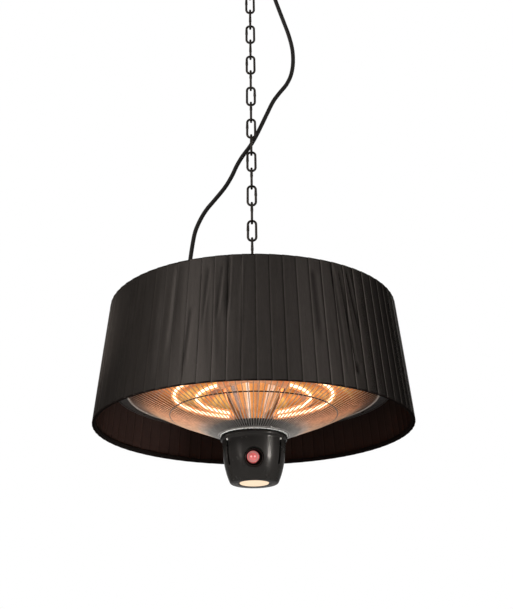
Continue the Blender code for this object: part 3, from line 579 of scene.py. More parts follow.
def grille_wire():
    """Steel wire with painted light: the tubes' warm glow over the dish, and painted shade at the collar and
    at the outer ring.
    """
    finish = Finish("grille_wire", (0.46, 0.285, 0.185), 0.40, 0.5)
    _, _, out = finish.across_axis()
    finish.feed("Base Color", finish.coloured(out, WIRE_PAINTED_LIGHT))
    finish.shade_by(finish.ranged(finish.spotted(160, 3), 0.8, 1.2))
    finish.vary_roughness(finish.spotted(500, 2), 0.08)
    finish.relief(finish.spotted(2200, 2), 0.20, 0.00003)
    return finish.material


def circuit_board():
    finish = Finish("circuit_board", (0.03, 0.16, 0.07), 0.45)
    finish.vary_colour(finish.waves(300, "X", 3.0), 0.35)
    return finish.material


def cloth(name, colour, rough, metallic=0.0, seam=1.0):
    """Satin ribbon: a fine weave on the piece's own UV map, in metres, with slubs along the ribbon."""
    finish = Finish(
        name, colour, rough, metallic, Specular_IOR_Level=0.0, Specular_Tint=(0.10, 0.09, 0.08, 1)
    )
    finish.where = finish.node("ShaderNodeUVMap", "UV")
    slub = finish.spotted(60, 4, (4, 0.35, 1))
    thread = finish.spotted(900, 2, (1, 0.12, 1))
    finish.vary_colour(finish.worked("MULTIPLY", finish.worked("ADD", slub, thread), 0.5), 0.16)
    across, _ = finish.split(finish.where)
    ribbons = finish.worked("MULTIPLY_ADD", across, 1 / RIBBON_WIDTH, -STRIP_TURN)
    # Painted shadow and painted highlight along each ribbon's seam, as dark as the seam's strength
    edges = finish.ramped(finish.worked("FRACT", ribbons), SEAM_STOPS, seam)
    depth, folds = (
        finish.node("ShaderNodeAttribute", "Fac", attribute_name=name) for name in ("seam_shadow_strength", "painted_shade_and_tint")
    )
    edges = finish.worked("MULTIPLY_ADD", finish.worked("SUBTRACT", edges, 1.0), depth, 1.0)
    # Painted shade of the creases and laps, with each ribbon's own tint, times the seams
    finish.shade_by(finish.worked("MULTIPLY", edges, finish.ranged(folds, 0.35, 1.65, -1, 1)))
    finish.vary_roughness(slub, 0.04)
    finish.relief(finish.waves(520, "X", 1.2), 0.10, 0.0001)
    finish.relief(finish.waves(700, "Y", 0.8), 0.12, 0.0001)
    return finish.material


# Each plain finish: colour, roughness, metal, then its clouds, wear and grain
ZINC = plain(
    "zinc_steel", (0.0225, 0.0195, 0.0170), 0.36, 0.8, (120, 3, 0.08), (500, 2, 0.03),
    (600, 2, 0.01, 0.00003), Specular_IOR_Level=0.1, Specular_Tint=(0.30, 0.27, 0.24, 1),
)
ENAMEL = plain(
    "black_enamel", (0.012, 0.010, 0.009), 0.42, 0.0, (30, 4, 0.15), (120, 3, 0.06),
    (1400, 2, 0.18, 0.00006), Specular_IOR_Level=0.22,
)
POLISHED = plain("polished_steel", (0.95, 0.91, 0.87), 0.28, 0.8, (90, 3, 0.10), (300, 3, 0.05))
DARK_RING = plain(
    "dark_ring", (0.034, 0.026, 0.021), 0.42, 0.5, wear=(200, 3, 0.08), Specular_IOR_Level=0.3
)
BLACK = plain(
    "satin_black", (0.0255, 0.0235, 0.0218), 0.27, 0.55, (60, 3, 0.04), (90, 3, 0.005),
    (2400, 2, 0.01, 0.00002), Specular_IOR_Level=0.04, Specular_Tint=(0.25, 0.23, 0.21, 1),
)
RECESS = plain(
    "recess_black", (0.0050, 0.0046, 0.0043), 0.45, 0.4, wear=(200, 3, 0.05), Specular_IOR_Level=0.03
)
FILAMENT = plain(
    "filament", (1.0, 0.60, 0.28), 0.5, 0.0, (400, 2, 0.10),
    Emission_Color=(1.0, 0.78, 0.55, 1), Emission_Strength=2.5,
)
QUARTZ = plain(
    "quartz", (1.0, 0.55, 0.24), 0.10, 0.0, wear=(300, 2, 0.03),
    Alpha=0.22, Emission_Color=(1.0, 0.36, 0.10, 1), Emission_Strength=1.2,
)
# Ceramic with a painted warm glow: the tubes' light on it
CERAMIC_PAINTED_GLOW = plain(
    "ceramic", (0.66, 0.36, 0.20), 0.62, 0.0, (200, 4, 0.16), None, (1800, 3, 0.30, 0.0001),
    Emission_Color=(0.80, 0.26, 0.08, 1), Emission_Strength=0.25,
)
RED = plain(
    "receiver_red", (0.62, 0.12, 0.115), 0.12, 0.0, (200, 2, 0.12), Coat_Weight=0.6, Coat_Roughness=0.05,
    Emission_Color=(0.85, 0.17, 0.16, 1), Emission_Strength=0.15,
)
# Painted reflection: a glowing ring on the receiver's lens
LENS_PAINTED_RING = plain(
    "receiver_painted_ring", (0.30, 0.17, 0.16), 0.25, 0.0, (300, 2, 0.12),
    Emission_Color=(0.45, 0.22, 0.20, 1), Emission_Strength=0.25,
)
# Painted highlights: two light dots on the receiver's lens
LENS_PAINTED_GLINTS = plain(
    "receiver_painted_glints", (0.90, 0.45, 0.44), 0.2, 0.0, wear=(900, 2, 0.05),
    Emission_Color=(1.0, 0.50, 0.48, 1), Emission_Strength=0.2,
)
STUD = plain("bright_stud", (0.80, 0.76, 0.72), 0.28, 0.8, wear=(900, 2, 0.08))
LAMP = plain(
    "lamp_diffuser", (0.52, 0.40, 0.29), 0.45, 0.0, (150, 2, 0.05), None, (1500, 2, 0.15, 0.00005),
    Specular_IOR_Level=0.2, Emission_Color=(1.0, 0.73, 0.48, 1), Emission_Strength=0.50,
)
RUBBER = plain(
    "rubber", (0.0105, 0.0090, 0.0078), 0.45, 0.0, (90, 3, 0.18), (260, 3, 0.08),
    (1200, 3, 0.08, 0.00005), Specular_IOR_Level=0.06,
)
HEM = plain(
    "shade_hem", (0.0050, 0.0040, 0.0036), 0.8, 0.0, (200, 3, 0.15), None, (1200, 3, 0.2, 0.0001),
    Specular_IOR_Level=0.0,
)
BINDING = plain(
    "shade_binding", (0.0060, 0.0050, 0.0045), 0.7, 0.0, (300, 3, 0.15), None, (1500, 3, 0.25, 0.0001),
    Specular_IOR_Level=0.0,
)
DISH = mirror_dish()
COLUMN_METAL = column_metal()
WIRE = grille_wire()
BOARD = circuit_board()
SATIN = cloth("charcoal_satin", (0.0238, 0.0206, 0.0185), 0.40, 0.60)
# The lining's red-brown is partly painted: warm light of the tubes on dark cloth
LINING = cloth("shade_lining", (0.0155, 0.0092, 0.0076), 0.80, 0.0, 0.9)


# Camera, studio and lights
FLOOR_SIZE = 9
FLOOR_DROP = 0.75
WORLD_LIGHT = 0.55

# Name, place, width and power of the wide lamps, which face the shade's middle
SOFT_LIGHTS = (
    ("key_light", (-1.5, -2.2, 0.2), 1.4, 42),
    ("fill_light", (2.0, -1.6, -0.2), 1.8, 12),
    ("back_light", (0.6, 2.4, 0.6), 1.6, 22),
    ("side_light", (-2.6, 1.2, 0.1), 1.2, 75),
)

# Name, place, target on the head, power, cone in degrees and softness of the narrow lamps: an upright
# highlight on each side of the nose, and light on the left of the shade and on the left of its lining
NOSE_LIT = (0, 0, NOSE_BOTTOM + 0.022)
SPOTS = (
    ("nose_spot_left", (-2.1, -1.5, -0.95), NOSE_LIT, 500, 3.6, 0.30),
    ("nose_spot_right", (2.2, -1.35, -0.95), NOSE_LIT, 3500, 3.6, 0.30),
    ("shade_spot", (-2.5, 0.3, -0.72), (-0.22, -0.02, 0.12), 650, 5.6, 0.04),
    ("lining_spot", (0.15, -0.75, -1.55), (-0.20, 0.12, 0.03), 75, 11.0, 0.04),
)
SPOT_BLEND = 0.8


def in_scene(name, data):
    obj = bpy.data.objects.new(name, data)
    bpy.context.scene.collection.objects.link(obj)
    return obj


def lamp(name, kind, place, target, power, **settings):
    """A lamp that faces its target."""
    data = bpy.data.lights.new(name, kind)
    data.energy = power
    for key, value in settings.items():
        setattr(data, key, value)
    obj = in_scene(name, data)
    obj.location = place
    obj.rotation_euler = (Vector(target) - Vector(place)).to_track_quat("-Z", "Y").to_euler()


def camera():
    data = bpy.data.cameras.new("photo_camera")
    data.lens = LENS_MM
    data.sensor_width = SENSOR_MM
    data.sensor_fit = "AUTO"
    obj = in_scene("photo_camera", data)
    obj.matrix_world = (
        Matrix.Translation((0, -CAMERA_DISTANCE, EDGE_Z - CAMERA_BELOW_EDGE))
        @ Matrix.Rotation(CAMERA_YAW, 4, "Z")
        @ Matrix.Rotation(math.radians(90) + CAMERA_PITCH, 4, "X")
        @ Matrix.Rotation(CAMERA_ROLL, 4, "Z")
    )
    bpy.context.scene.camera = obj
    bpy.context.scene.view_settings.view_transform = "Standard"


def pale_world():
    """White to look at and in reflections, and weaker as a light, so that the lamps shape the object."""
    world = bpy.data.worlds.new("studio")
    world.use_nodes = True
    bpy.context.scene.world = world
    tree = world.node_tree
    paths = tree.nodes.new("ShaderNodeLightPath").outputs
    seen = paths["Is Camera Ray"]
    for kind in ("Is Glossy Ray", "Is Transmission Ray"):
        seen = fed(tree, "ShaderNodeMath", 0, {0: seen, 1: paths[kind]}, operation="ADD", use_clamp=True)
    inputs = {"Value": seen, "To Min": WORLD_LIGHT, "To Max": 1.0}
    strength = fed(tree, "ShaderNodeMapRange", "Result", inputs)
    background = tree.nodes["Background"].inputs
    tree.links.new(strength, background["Strength"])
    background["Color"].default_value = (1, 1, 1, 1)


def studio():
    camera()
    pale_world()
    bpy.ops.object.select_all(action="DESELECT")
    bpy.ops.mesh.primitive_plane_add(size=FLOOR_SIZE, location=(0, 0, EDGE_Z - FLOOR_DROP))
    floor = bpy.context.object
    floor.name = "studio_floor"
    pale = Finish("pale_floor", (0.80, 0.80, 0.79), 0.6)
    pale.vary_colour(pale.spotted(2, 2), 0.01)
    # From below, the floor doesn't hide the object
    pale.feed("Alpha", pale.worked("SUBTRACT", 1.0, pale.node("ShaderNodeNewGeometry", "Backfacing")))
    paint(floor, pale.material)
    middle = (0, 0, on_head(SHADE_HEIGHT / 2))
    for name, place, size, power in SOFT_LIGHTS:
        lamp(name, "AREA", place, middle, power, shape="DISK", size=size)
    for name, place, (x, y, height), power, cone, softness in SPOTS:
        lamp(
            name, "SPOT", place, (x, y, on_head(height)), power,
            spot_size=math.radians(cone), spot_blend=SPOT_BLEND, shadow_soft_size=softness,
        )


# Supply cable
CABLE_DIAMETER = 0.0072
CABLE_POINTS = 116

# Where the cable goes into the housing and into the rose, seen from above
GLAND = Vector((-0.1023, 0.0455, 0))
ROSE_GLAND = Vector((0.038, 0, 0))

# The cable's route from the boot on the housing up to the rose: a list of places
CABLE_ROUTE = (
    (-0.1028, 0.0458, -0.6600),
    (-0.1040, 0.0465, -0.6400),
    (-0.1045, 0.0470, -0.6150),
    (-0.1036, 0.0465, -0.5950),
    (-0.1020, 0.0452, -0.5780),
    (-0.0982, 0.0445, -0.5490),
    (-0.0943, 0.0440, -0.5290),
    (-0.0860, 0.0415, -0.5090),
    (-0.0755, 0.0380, -0.4920),
    (-0.0600, 0.0335, -0.4740),
    (-0.0445, 0.0292, -0.4550),
    (-0.0330, 0.0250, -0.4360),
    (-0.0250, 0.0215, -0.4190),
    (-0.0150, 0.0178, -0.4025),
    (-0.0035, 0.0150, -0.3870),
    (0.0065, 0.0142, -0.3690),
    (0.0167, 0.0140, -0.3465),
    (0.0274, 0.0142, -0.3215),
    (0.0385, 0.0145, -0.2965),
    (0.0505, 0.0148, -0.2780),
    (0.0620, 0.0150, -0.2620),
    (0.0705, 0.0150, -0.2420),
    (0.0745, 0.0148, -0.2180),
    (0.0740, 0.0140, -0.1900),
    (0.0685, 0.0120, -0.1620),
    (0.0600, 0.0090, -0.1350),
    (0.0510, 0.0055, -0.1080),
    (0.0435, 0.0025, -0.0840),
    (0.0395, 0.0008, -0.0640),
)

# Each stretch of cable: its upper body, its lower body, and where it starts and ends
CABLE_STRETCHES = (
    ("cable_at_rose", "ceiling_mount", "top_link", 1.0, -0.140),
    ("cable_upper", "top_link", "second_link", -0.140, -0.240),
    ("cable_middle", "second_link", "chain", -0.240, -0.410),
    ("cable_lower", "chain", "snap_hook", -0.410, -0.545),
    ("cable_at_housing", "snap_hook", "heater", -0.545, -1.0),
)


def even_route(places, count):
    """Evenly spaced points on a smooth curve through the places."""
    fine = curve_through([Vector(p) for p in places], count)
    run = [0.0]
    for a, b in zip(fine, fine[1:]):
        run.append(run[-1] + (b - a).length)
    points = []
    at = 0
    for i in range(count):
        target = run[-1] * i / (count - 1)
        while at < len(run) - 2 and run[at + 1] < target:
            at += 1
        share = (target - run[at]) / (run[at + 1] - run[at])
        points.append(fine[at].lerp(fine[at + 1], share))
    return points


def cable():
    start = (GLAND.x, GLAND.y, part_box("strain_relief")[1][2] + GAP)
    end = (ROSE_GLAND.x, ROSE_GLAND.y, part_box("rose_gland")[0][2] - GAP)
    route = even_route([start, *CABLE_ROUTE, end], CABLE_POINTS)[::-1]
    for name, upper, lower, top, bottom in CABLE_STRETCHES:
        inside = [i for i, p in enumerate(route) if bottom <= p.z <= top]
        path = route[max(0, inside[0] - 1) : inside[-1] + 1]
        piece = rod(name, path, CABLE_DIAMETER / 2, 16)
        paint(piece, RUBBER)
        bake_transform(piece)
        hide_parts("power_cord")


# Ceiling fitting
ROSE_CORNER = 0.009
ROSE_WALL = 0.0018
ROSE_GLAND_HOLE = 0.0065
ROSE_BORE = 0.0028
NUT_RADIUS = 0.009
HOOK_WIRE = 0.0025
HOOK_BEND = 0.010
GROMMET_RIBS = 4


def ceiling_fitting():
    floor, corner = ROSE_FLOOR, ROSE_CORNER
    outline = [(ROSE_RADIUS, -GAP), (ROSE_RADIUS, floor + corner)]
    outline += arc(corner, 0, -90, 8, (ROSE_RADIUS - corner, floor + corner))[1:]
    outline += [(0.0125, floor), (0.0115, floor + 0.0012), (ROSE_BORE, floor + 0.0012)]
    rose = shell("rose_cover", outline, ROSE_WALL, 128)
    bored(rose, ROSE_GLAND + Vector((0, 0, floor)), ROSE_GLAND_HOLE)
    finish_piece(rose, "ceiling_mount", BLACK, "satin_black_plastic", "ceiling_rose")

    low, high = heights("rose_nut")
    nut = added(
        bpy.ops.mesh.primitive_cylinder_add, "cover_nut",
        vertices=6, radius=NUT_RADIUS, depth=high - low, location=(0, 0, (low + high) / 2),
    )
    bevel(nut, 0.0006)
    bore = cylinder("bore", (0, 0, low - BORE_REACH), (0, 0, high + BORE_REACH), ROSE_BORE)
    smooth(boolean(nut, bore))
    finish_piece(nut, "ceiling_mount", ZINC, "zinc_steel", "rose_nut")

    low, high = heights("ceiling_hook")
    neck = [(0, high), (0, -0.0345), (-0.0006, -0.0362), (-0.0020, -0.0376)]
    neck += arc(HOOK_BEND, 115, 385, 26, (0, low + HOOK_WIRE + HOOK_BEND))
    hook = rod("open_hook", [(x, 0, z) for x, z in neck], HOOK_WIRE, 16, tip_round=0.0012)
    finish_piece(hook, "ceiling_mount", ZINC, "zinc_steel", "ceiling_hook")

    plug = [(0.0060, floor + 0.008), (0.0060, floor - 0.0003), (0.0085, floor - 0.0006)]
    plug += [(0.0086, floor - 0.004)]
    for step in range(GROMMET_RIBS):
        low = floor - 0.0052 - step * 0.0024
        grip = 0.0083 - step * 0.0008
        groove = grip - 0.0007
        plug += [(grip, low + 0.0004), (grip, low - 0.0008), (groove, low - 0.0010), (groove, low - 0.0017)]
    plug += [(0.0046, floor - 0.0150)]
    gland = moved(turned("rose_grommet", plug, 40, filled=True), Matrix.Translation(ROSE_GLAND))
    finish_piece(gland, "ceiling_mount", RUBBER, "black_rubber", "rose_gland")


# Chain
CHAIN_WIRE = 0.002
CHAIN_LINKS = 19

# The weld: shares of a link's straight side, and how much thicker the wire is there
WELD = ((0.45, 1.0), (0.48, 1.07), (0.50, 1.09), (0.52, 1.07), (0.55, 1.0))
CROWN_WEAR = 0.945


def chain():
    """One link is a ring pulled apart, with its weld on one side; the rest are copies, turned in turn."""
    wire = CHAIN_WIRE
    low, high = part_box("chain_link_03")
    bend = (high[1] - low[1]) / 2 - wire
    span = high[2] - low[2] - 2 * wire - 2 * bend
    link = added(
        bpy.ops.mesh.primitive_torus_add, "link_pattern", major_radius=bend, minor_radius=wire,
        major_segments=28, minor_segments=12, rotation=(math.radians(90), 0, 0),
    )
    choose(link, lambda place: place.z > SAME_PLACE)
    bpy.ops.transform.translate(value=(0, 0, span))
    leave()
    for share, swell in WELD:
        height = span * share
        edit_all(link)
        bpy.ops.mesh.bisect(plane_co=(0, 0, height), plane_no=(0, 0, 1))
        leave()
        choose(link, lambda place: abs(place.z - height) < SAME_PLACE and place.x > 0)
        bpy.ops.transform.resize(value=(swell, swell, 1), center_override=(bend, 0, 0))
        leave()
    # Both crowns are worn where the next link bears, which leaves them room to turn in each other
    for crown in (-bend, span + bend):
        for reach in (0.62, 0.32):
            choose(link, lambda place: abs(place.x) < bend * reach and abs(place.z - crown) < bend)
            bpy.ops.transform.resize(value=(1, CROWN_WEAR, CROWN_WEAR), center_override=(0, 0, crown))
            leave()
    smooth(link, 180)
    for number in range(1, CHAIN_LINKS + 1):
        node = f"chain_link_{number:02d}"
        low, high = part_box(node)
        body = {1: "top_link", 2: "second_link"}.get(number, "chain")
        turn = about_axis(90 if number % 2 else 0)
        if chance.random() < 0.5:
            turn = about_axis(180) @ turn
        place = Matrix.Translation((0, 0, low[2] + wire + bend))
        piece = copy_of(link, place @ turn, f"steel_{node}")
        finish_piece(piece, body, ZINC, "zinc_steel", node)
    bpy.data.objects.remove(link, do_unlink=True)


# Snap hook, its gate and the eye bolt
SNAP_WIRE = 0.0025
SNAP_BEND = 0.007
GATE_RADIUS = 0.00215
EYE_WIRE = 0.003
EYE_BEND = 0.0095
SHANK_RADIUS = 0.003
THREAD_ROOT = 0.0025
THREAD_PITCH = 0.001
THREAD_TURNS = 13


def snap_hook():
    wire, bend = SNAP_WIRE, SNAP_BEND
    low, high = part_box("snap_hook")
    gate_low, gate_high = heights("snap_hook_gate")
    loop = [(bend, gate_high + 0.0003)]
    loop += arc(bend, 0, 180, 20, (0, high[2] - wire - bend))
    loop += arc(bend, 180, 360, 20, (0, low[2] + wire + bend))
    loop += [(bend, gate_low - 0.0006)]
    body = rod("snap_hook_wire", [(x, 0, z) for x, z in loop], wire, 16)
    finish_piece(body, "snap_hook", ZINC, "zinc_steel", "snap_hook")

    gate = [cylinder("gate_bar", (bend, 0, gate_low), (bend, 0, gate_high), GATE_RADIUS, 20, 0.0004)]
    for name, half, height, radius in (
        ("pin", 0.0027, gate_low + 0.0022, 0.0009),
        ("nose", 0.0026, gate_high - 0.002, 0.0007),
    ):
        gate.append(cylinder(name, (bend, -half, height), (bend, half, height), radius, 12, 0.0002))
    finish_piece(joined("snap_gate", gate), "gate", ZINC, "zinc_steel", "snap_hook_gate")


def eye_bolt():
    low, high = heights("eye_bolt")
    eye = added(
        bpy.ops.mesh.primitive_torus_add, "eye", major_radius=EYE_BEND, minor_radius=EYE_WIRE,
        major_segments=48, minor_segments=16, rotation=(0, math.radians(90), 0),
        location=(0, 0, high - EYE_WIRE - EYE_BEND),
    )
    base, shank = low + 0.016, SHANK_RADIUS
    outline = [(0.0045, base + 0.0065), (0.0055, base + 0.0038), (0.0076, base + 0.0030)]
    outline += [(0.0080, base + 0.0024), (0.0080, base + 0.0004), (shank, base), (shank, base - 0.0030)]
    for turn in range(THREAD_TURNS):
        height = base - 0.0030 - (turn + 0.5) * THREAD_PITCH
        outline += [(THREAD_ROOT, height), (shank, height - THREAD_PITCH / 2)]
    outline += [(0.0024, low)]
    bolt = smooth(boolean(turned("lifting_eye", outline, 28, filled=True), eye, "UNION"))
    finish_piece(bolt, "heater", ZINC, "zinc_steel", "eye_bolt")


# Shade
RIBBON_SHARES = (0.0, 0.025, 0.06, 0.14, 0.23, 0.32, 0.41, 0.51, 0.61, 0.71, 0.82, 0.93)
LAP_SHARES = (0.0, 0.93, 1.0, 0.93, 0.84, 0.74, 0.64, 0.53, 0.42, 0.31, 0.18, 0.06)
LAP = 0.0008
SHADE_INSET = LAP + 0.0002
PIPING = 0.0009
PIPING_INSET = 0.0012
SHADE_ROWS = 36
SHADE_TOP_RADIUS = 0.221
CLOTH_WALL = 0.0006

# By chance, how far a ribbon bulges, and how much lighter or darker it looks
SLACK = (-0.00015, 0.00035)
TINT = 0.10

# Beside a crease's valley lies a ridge: its share of the depth, and how many widths away
CREASE_RIDGE = 0.5
RIDGE_AWAY = 1.9
# How strongly a crease's valley is painted dark and its ridge light, as painted shade and painted highlight
CREASE_PAINTED_SHADE = 0.75
CREASE_REACH = 5

# How far a crease runs on past its ends, and over how much of its length it comes and fades, as shares
CREASE_PAST = 0.02
CREASE_COMES, CREASE_FADES = 0.10, 0.30

# The side where the ribbons stand off and shade each other, as its middle and reach in degrees
LOOSE_SIDE = (340, 46)
# Where the ribbons' painted shadows on each other are darkest
PAINTED_SHADOW_SIDE = (344, 30)
# The painted seam shadow where the ribbons lie flat, and how uneven it is from ribbon to ribbon
FLAT_SEAM = 0.34
SEAM_UNEVEN = 0.5

# Soft folds: their depth where the cloth is calm, how they lean, and the share of smaller ones on them
CALM_DEPTH = 0.00012
FOLD_LEAN = 1.6
SMALL_FOLDS = 0.35

# Where round the shade in degrees the cloth is loose, how wide and how deep
CRUMPLES = (
    (246, 10, 0.0004),
    (259, 5, 0.0004),
    (231, 6, 0.0003),
    (301, 5, 0.0007),
    (318, 4, 0.0004),
    (20, 10, 0.0008),
    (75, 12, 0.0011),
    (128, 9, 0.0007),
    (170, 7, 0.0009),
)

# Upper end and lower end as (degrees round the shade, share of its height), depth, width in degrees
CREASES = (
    ((254.5, 0.92), (252.7, 0.40), 0.0006, 0.42),
    ((259.5, 0.92), (257.7, 0.45), 0.0006, 0.42),
    ((262.0, 1.00), (261.2, 0.50), 0.0013, 0.50),
    ((266.5, 0.95), (265.5, 0.12), -0.0004, 0.45),
    ((241.5, 0.97), (240.0, 0.20), -0.0002, 0.90),
    ((248.5, 0.60), (246.5, 0.05), 0.0003, 0.70),
    ((299.5, 1.00), (302.0, 0.07), 0.0009, 0.50),
    ((303.0, 0.96), (306.0, 0.14), 0.0011, 0.50),
    ((306.5, 0.96), (309.5, 0.45), 0.0009, 0.50),
    ((306.6, 0.20), (306.2, 0.11), 0.0009, 0.80),
    ((291.5, 0.90), (292.5, 0.30), 0.0004, 0.90),
    ((98.0, 1.00), (101.0, 0.30), 0.0012, 0.60),
    ((71.0, 0.95), (69.0, 0.20), 0.0009, 0.60),
    ((23.0, 0.95), (25.5, 0.25), 0.0010, 0.60),
    ((163.0, 1.00), (160.5, 0.35), 0.0010, 0.60),
)


def shade_radius(height):
    return SHADE_RADIUS + (SHADE_TOP_RADIUS - SHADE_RADIUS) * height / SHADE_HEIGHT


def crease(angle, share):
    """How far the sharp creases push the cloth in or out, with painted shade in their valleys and painted
    highlight on their ridges.
    """
    push, painted_shade = 0.0, 0.0
    for (top, top_share), (foot, foot_share), depth, width in CREASES:
        if not foot_share - CREASE_PAST <= share <= top_share + CREASE_PAST:
            continue
        along = (top_share - share) / (top_share - foot_share)
        away = (angle - top - (foot - top) * along) / width
        if abs(away) > CREASE_REACH:
            continue
        fade = min(1.0, (1.02 - along) / CREASE_FADES) * min(1.0, (along + 0.03) / CREASE_COMES)
        valley = math.exp(-away * away) - CREASE_RIDGE * math.exp(-((away - RIDGE_AWAY) ** 2))
        push -= depth * valley * max(0.0, fade)
        painted_shade -= math.copysign(CREASE_PAINTED_SHADE, depth) * valley * max(0.0, fade)
    return push, painted_shade


def off_side(angle, middle, reach):
    """A share from 1 in the middle of a sector of the shade to 0 beyond its reach, in degrees."""
    away = (angle - middle + 180) % 360 - 180
    return math.exp(-((away / reach) ** 2))


def seam_shadow_strength(angle, strip):
    """How dark the painted shadow at a ribbon's edge is: deep where the ribbons stand off, and slight where
    they lie flat.
    """
    uneven = 1 + SEAM_UNEVEN * noise.noise(Vector((strip * 0.73, 4.7, 1.9)))
    return (FLAT_SEAM + off_side(angle, *LOOSE_SIDE)) * uneven


def lap_painted_shadow(angle, across):
    """How far a ribbon is painted darker towards the next one, as that one's shadow, which is deepest on the
    side of the shade where it stands off most.
    """
    return -off_side(angle, *PAINTED_SHADOW_SIDE) * min(1.0, max(0.0, (across - 0.05) / 0.5))


def crumple(angle, height):
    """How far the loose ribbons stand off, in soft folds that lean and fade towards both hoops."""
    share = height / SHADE_HEIGHT
    held = math.sin(math.pi * min(1.0, max(0.0, share))) ** 0.6
    depth = CALM_DEPTH
    for where, width, size in CRUMPLES:
        depth += size * off_side(angle, where, width)
    lean = angle * 0.42 + share * FOLD_LEAN * math.sin(math.radians(angle * 3))
    folds = noise.noise(Vector((lean, share * 0.9, 3.1)))
    small = noise.noise(Vector((angle * 1.1, share * 1.7, 8.2)))
    return depth * held * (folds + SMALL_FOLDS * small)


def dress_points(cover):
    """Move the cover's points into lapped, creased ribbons; the places they get, their painted shade with
    each ribbon's tint, and how strong their seams' painted shadows are.
    """
    columns = STRIPS * len(RIBBON_SHARES)
    slack = [chance.uniform(*SLACK) for _ in range(STRIPS)]
    tint = [chance.uniform(-TINT, TINT) for _ in range(STRIPS)]
    places, folds, seams = {}, {}, {}
    for vertex in cover.data.vertices:
        angle = math.atan2(vertex.co.y, vertex.co.x) % FULL_TURN
        column = round(angle / FULL_TURN * columns) % columns
        strip, part = divmod(column, len(RIBBON_SHARES))
        across = RIBBON_SHARES[part]
        turn = (strip + across + STRIP_TURN) / STRIPS * FULL_TURN
        degrees = math.degrees(turn)
        height = vertex.co.z - EDGE_Z
        share = height / SHADE_HEIGHT
        push, painted_shade = crease(degrees % 360, share)
        bulge = slack[strip] * math.sin(math.pi * share) * math.sin(math.pi * across)
        radius = shade_radius(height) - SHADE_INSET + LAP * LAP_SHARES[part] + bulge + push
        radius += crumple(degrees % 360, height)
        vertex.co.x = radius * math.cos(turn)
        vertex.co.y = radius * math.sin(turn)
        places[vertex.index] = (turn * SHADE_RADIUS, height)
        painted_shade += lap_painted_shadow(degrees, across)
        folds[vertex.index] = max(-1.0, min(1.0, painted_shade + tint[strip]))
        seams[vertex.index] = seam_shadow_strength(degrees, strip if part else strip - 0.5)
    return places, folds, seams


def shade():
    rows = [SHADE_HEIGHT * i / SHADE_ROWS for i in range(SHADE_ROWS + 1)]
    profile = [(shade_radius(h) - SHADE_INSET, on_head(h)) for h in reversed(rows)]
    cover = turned("shade_cover", profile, STRIPS * len(RIBBON_SHARES))
    places, folds, seams = dress_points(cover)
    map_cloth(cover, places)
    for name, values in (("painted_shade_and_tint", folds), ("seam_shadow_strength", seams)):
        layer = cover.data.attributes.new(name, "FLOAT", "POINT")
        for index, value in values.items():
            layer.data[index].value = value
    edit_all(cover)
    bpy.ops.mesh.normals_make_consistent(inside=False)
    leave()
    probe = cover.data.polygons[0]
    if probe.normal.dot(Vector((probe.center.x, probe.center.y, 0))) < 0:
        cover.data.flip_normals()
    paint(cover, SATIN, LINING)
    modified(
        cover, "SOLIDIFY", thickness=CLOTH_WALL, offset=-1.0, material_offset=1, material_offset_rim=1
    )
    smooth(cover, 50)
    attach(cover, "heater")
    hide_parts("shade_fabric")

    for name, height, radius in (
        ("top_piping", SHADE_HEIGHT - PIPING, SHADE_TOP_RADIUS - PIPING_INSET),
        ("bottom_piping", PIPING, SHADE_RADIUS - PIPING_INSET),
    ):
        piping = ring(name, radius, PIPING, on_head(height), 200, 10)
        finish_piece(piping, "heater", BINDING, "shade_fabric")


def map_cloth(obj, places):
    """A UV map in metres: across the ribbons and up them."""
    while obj.data.uv_layers:
        obj.data.uv_layers.remove(obj.data.uv_layers[0])
    layer = obj.data.uv_layers.new(name="cloth")
    around = FULL_TURN * SHADE_RADIUS
    for face in obj.data.polygons:
        across = [places[obj.data.loops[i].vertex_index][0] for i in face.loop_indices]
        wraps = max(across) - min(across) > around / 2
        for i, run in zip(face.loop_indices, across):
            if wraps and run < around / 2:
                run += around
            layer.data[i].uv = (run, places[obj.data.loops[i].vertex_index][1])


# The hoops that hold the cloth, and the edge that thin steel plates and rings have
HOOP_WIDTH = 0.003
HOOP_INSET = 0.0027
PLATE_EDGE = 0.0005


def hoops():
    for name, node in (("upper_hoop", "shade_top_ring"), ("lower_hoop", "shade_bottom_ring")):
        low, high = heights(node)
        outer = shade_radius((low + high) / 2 - EDGE_Z) - HOOP_INSET
        hoop = flat_ring(name, outer - HOOP_WIDTH, outer, low + 0.0006, high - 0.0003, 160, PLATE_EDGE)
        finish_piece(hoop, "heater", HEM, "black_steel", node)


# The carrier: its hub, and along an arm from the axis where it starts, turns up, turns level and ends
HUB_RADIUS = 0.024
HUB_WALL = 0.002
HUB_BORE = 0.0034
ARM_WIRE = 0.0025
ARM_START = 0.010
ARM_FOOT = 0.062
ARM_LEVEL = 0.030
ARM_INSET = 0.0060
ARM_STEPS = 15


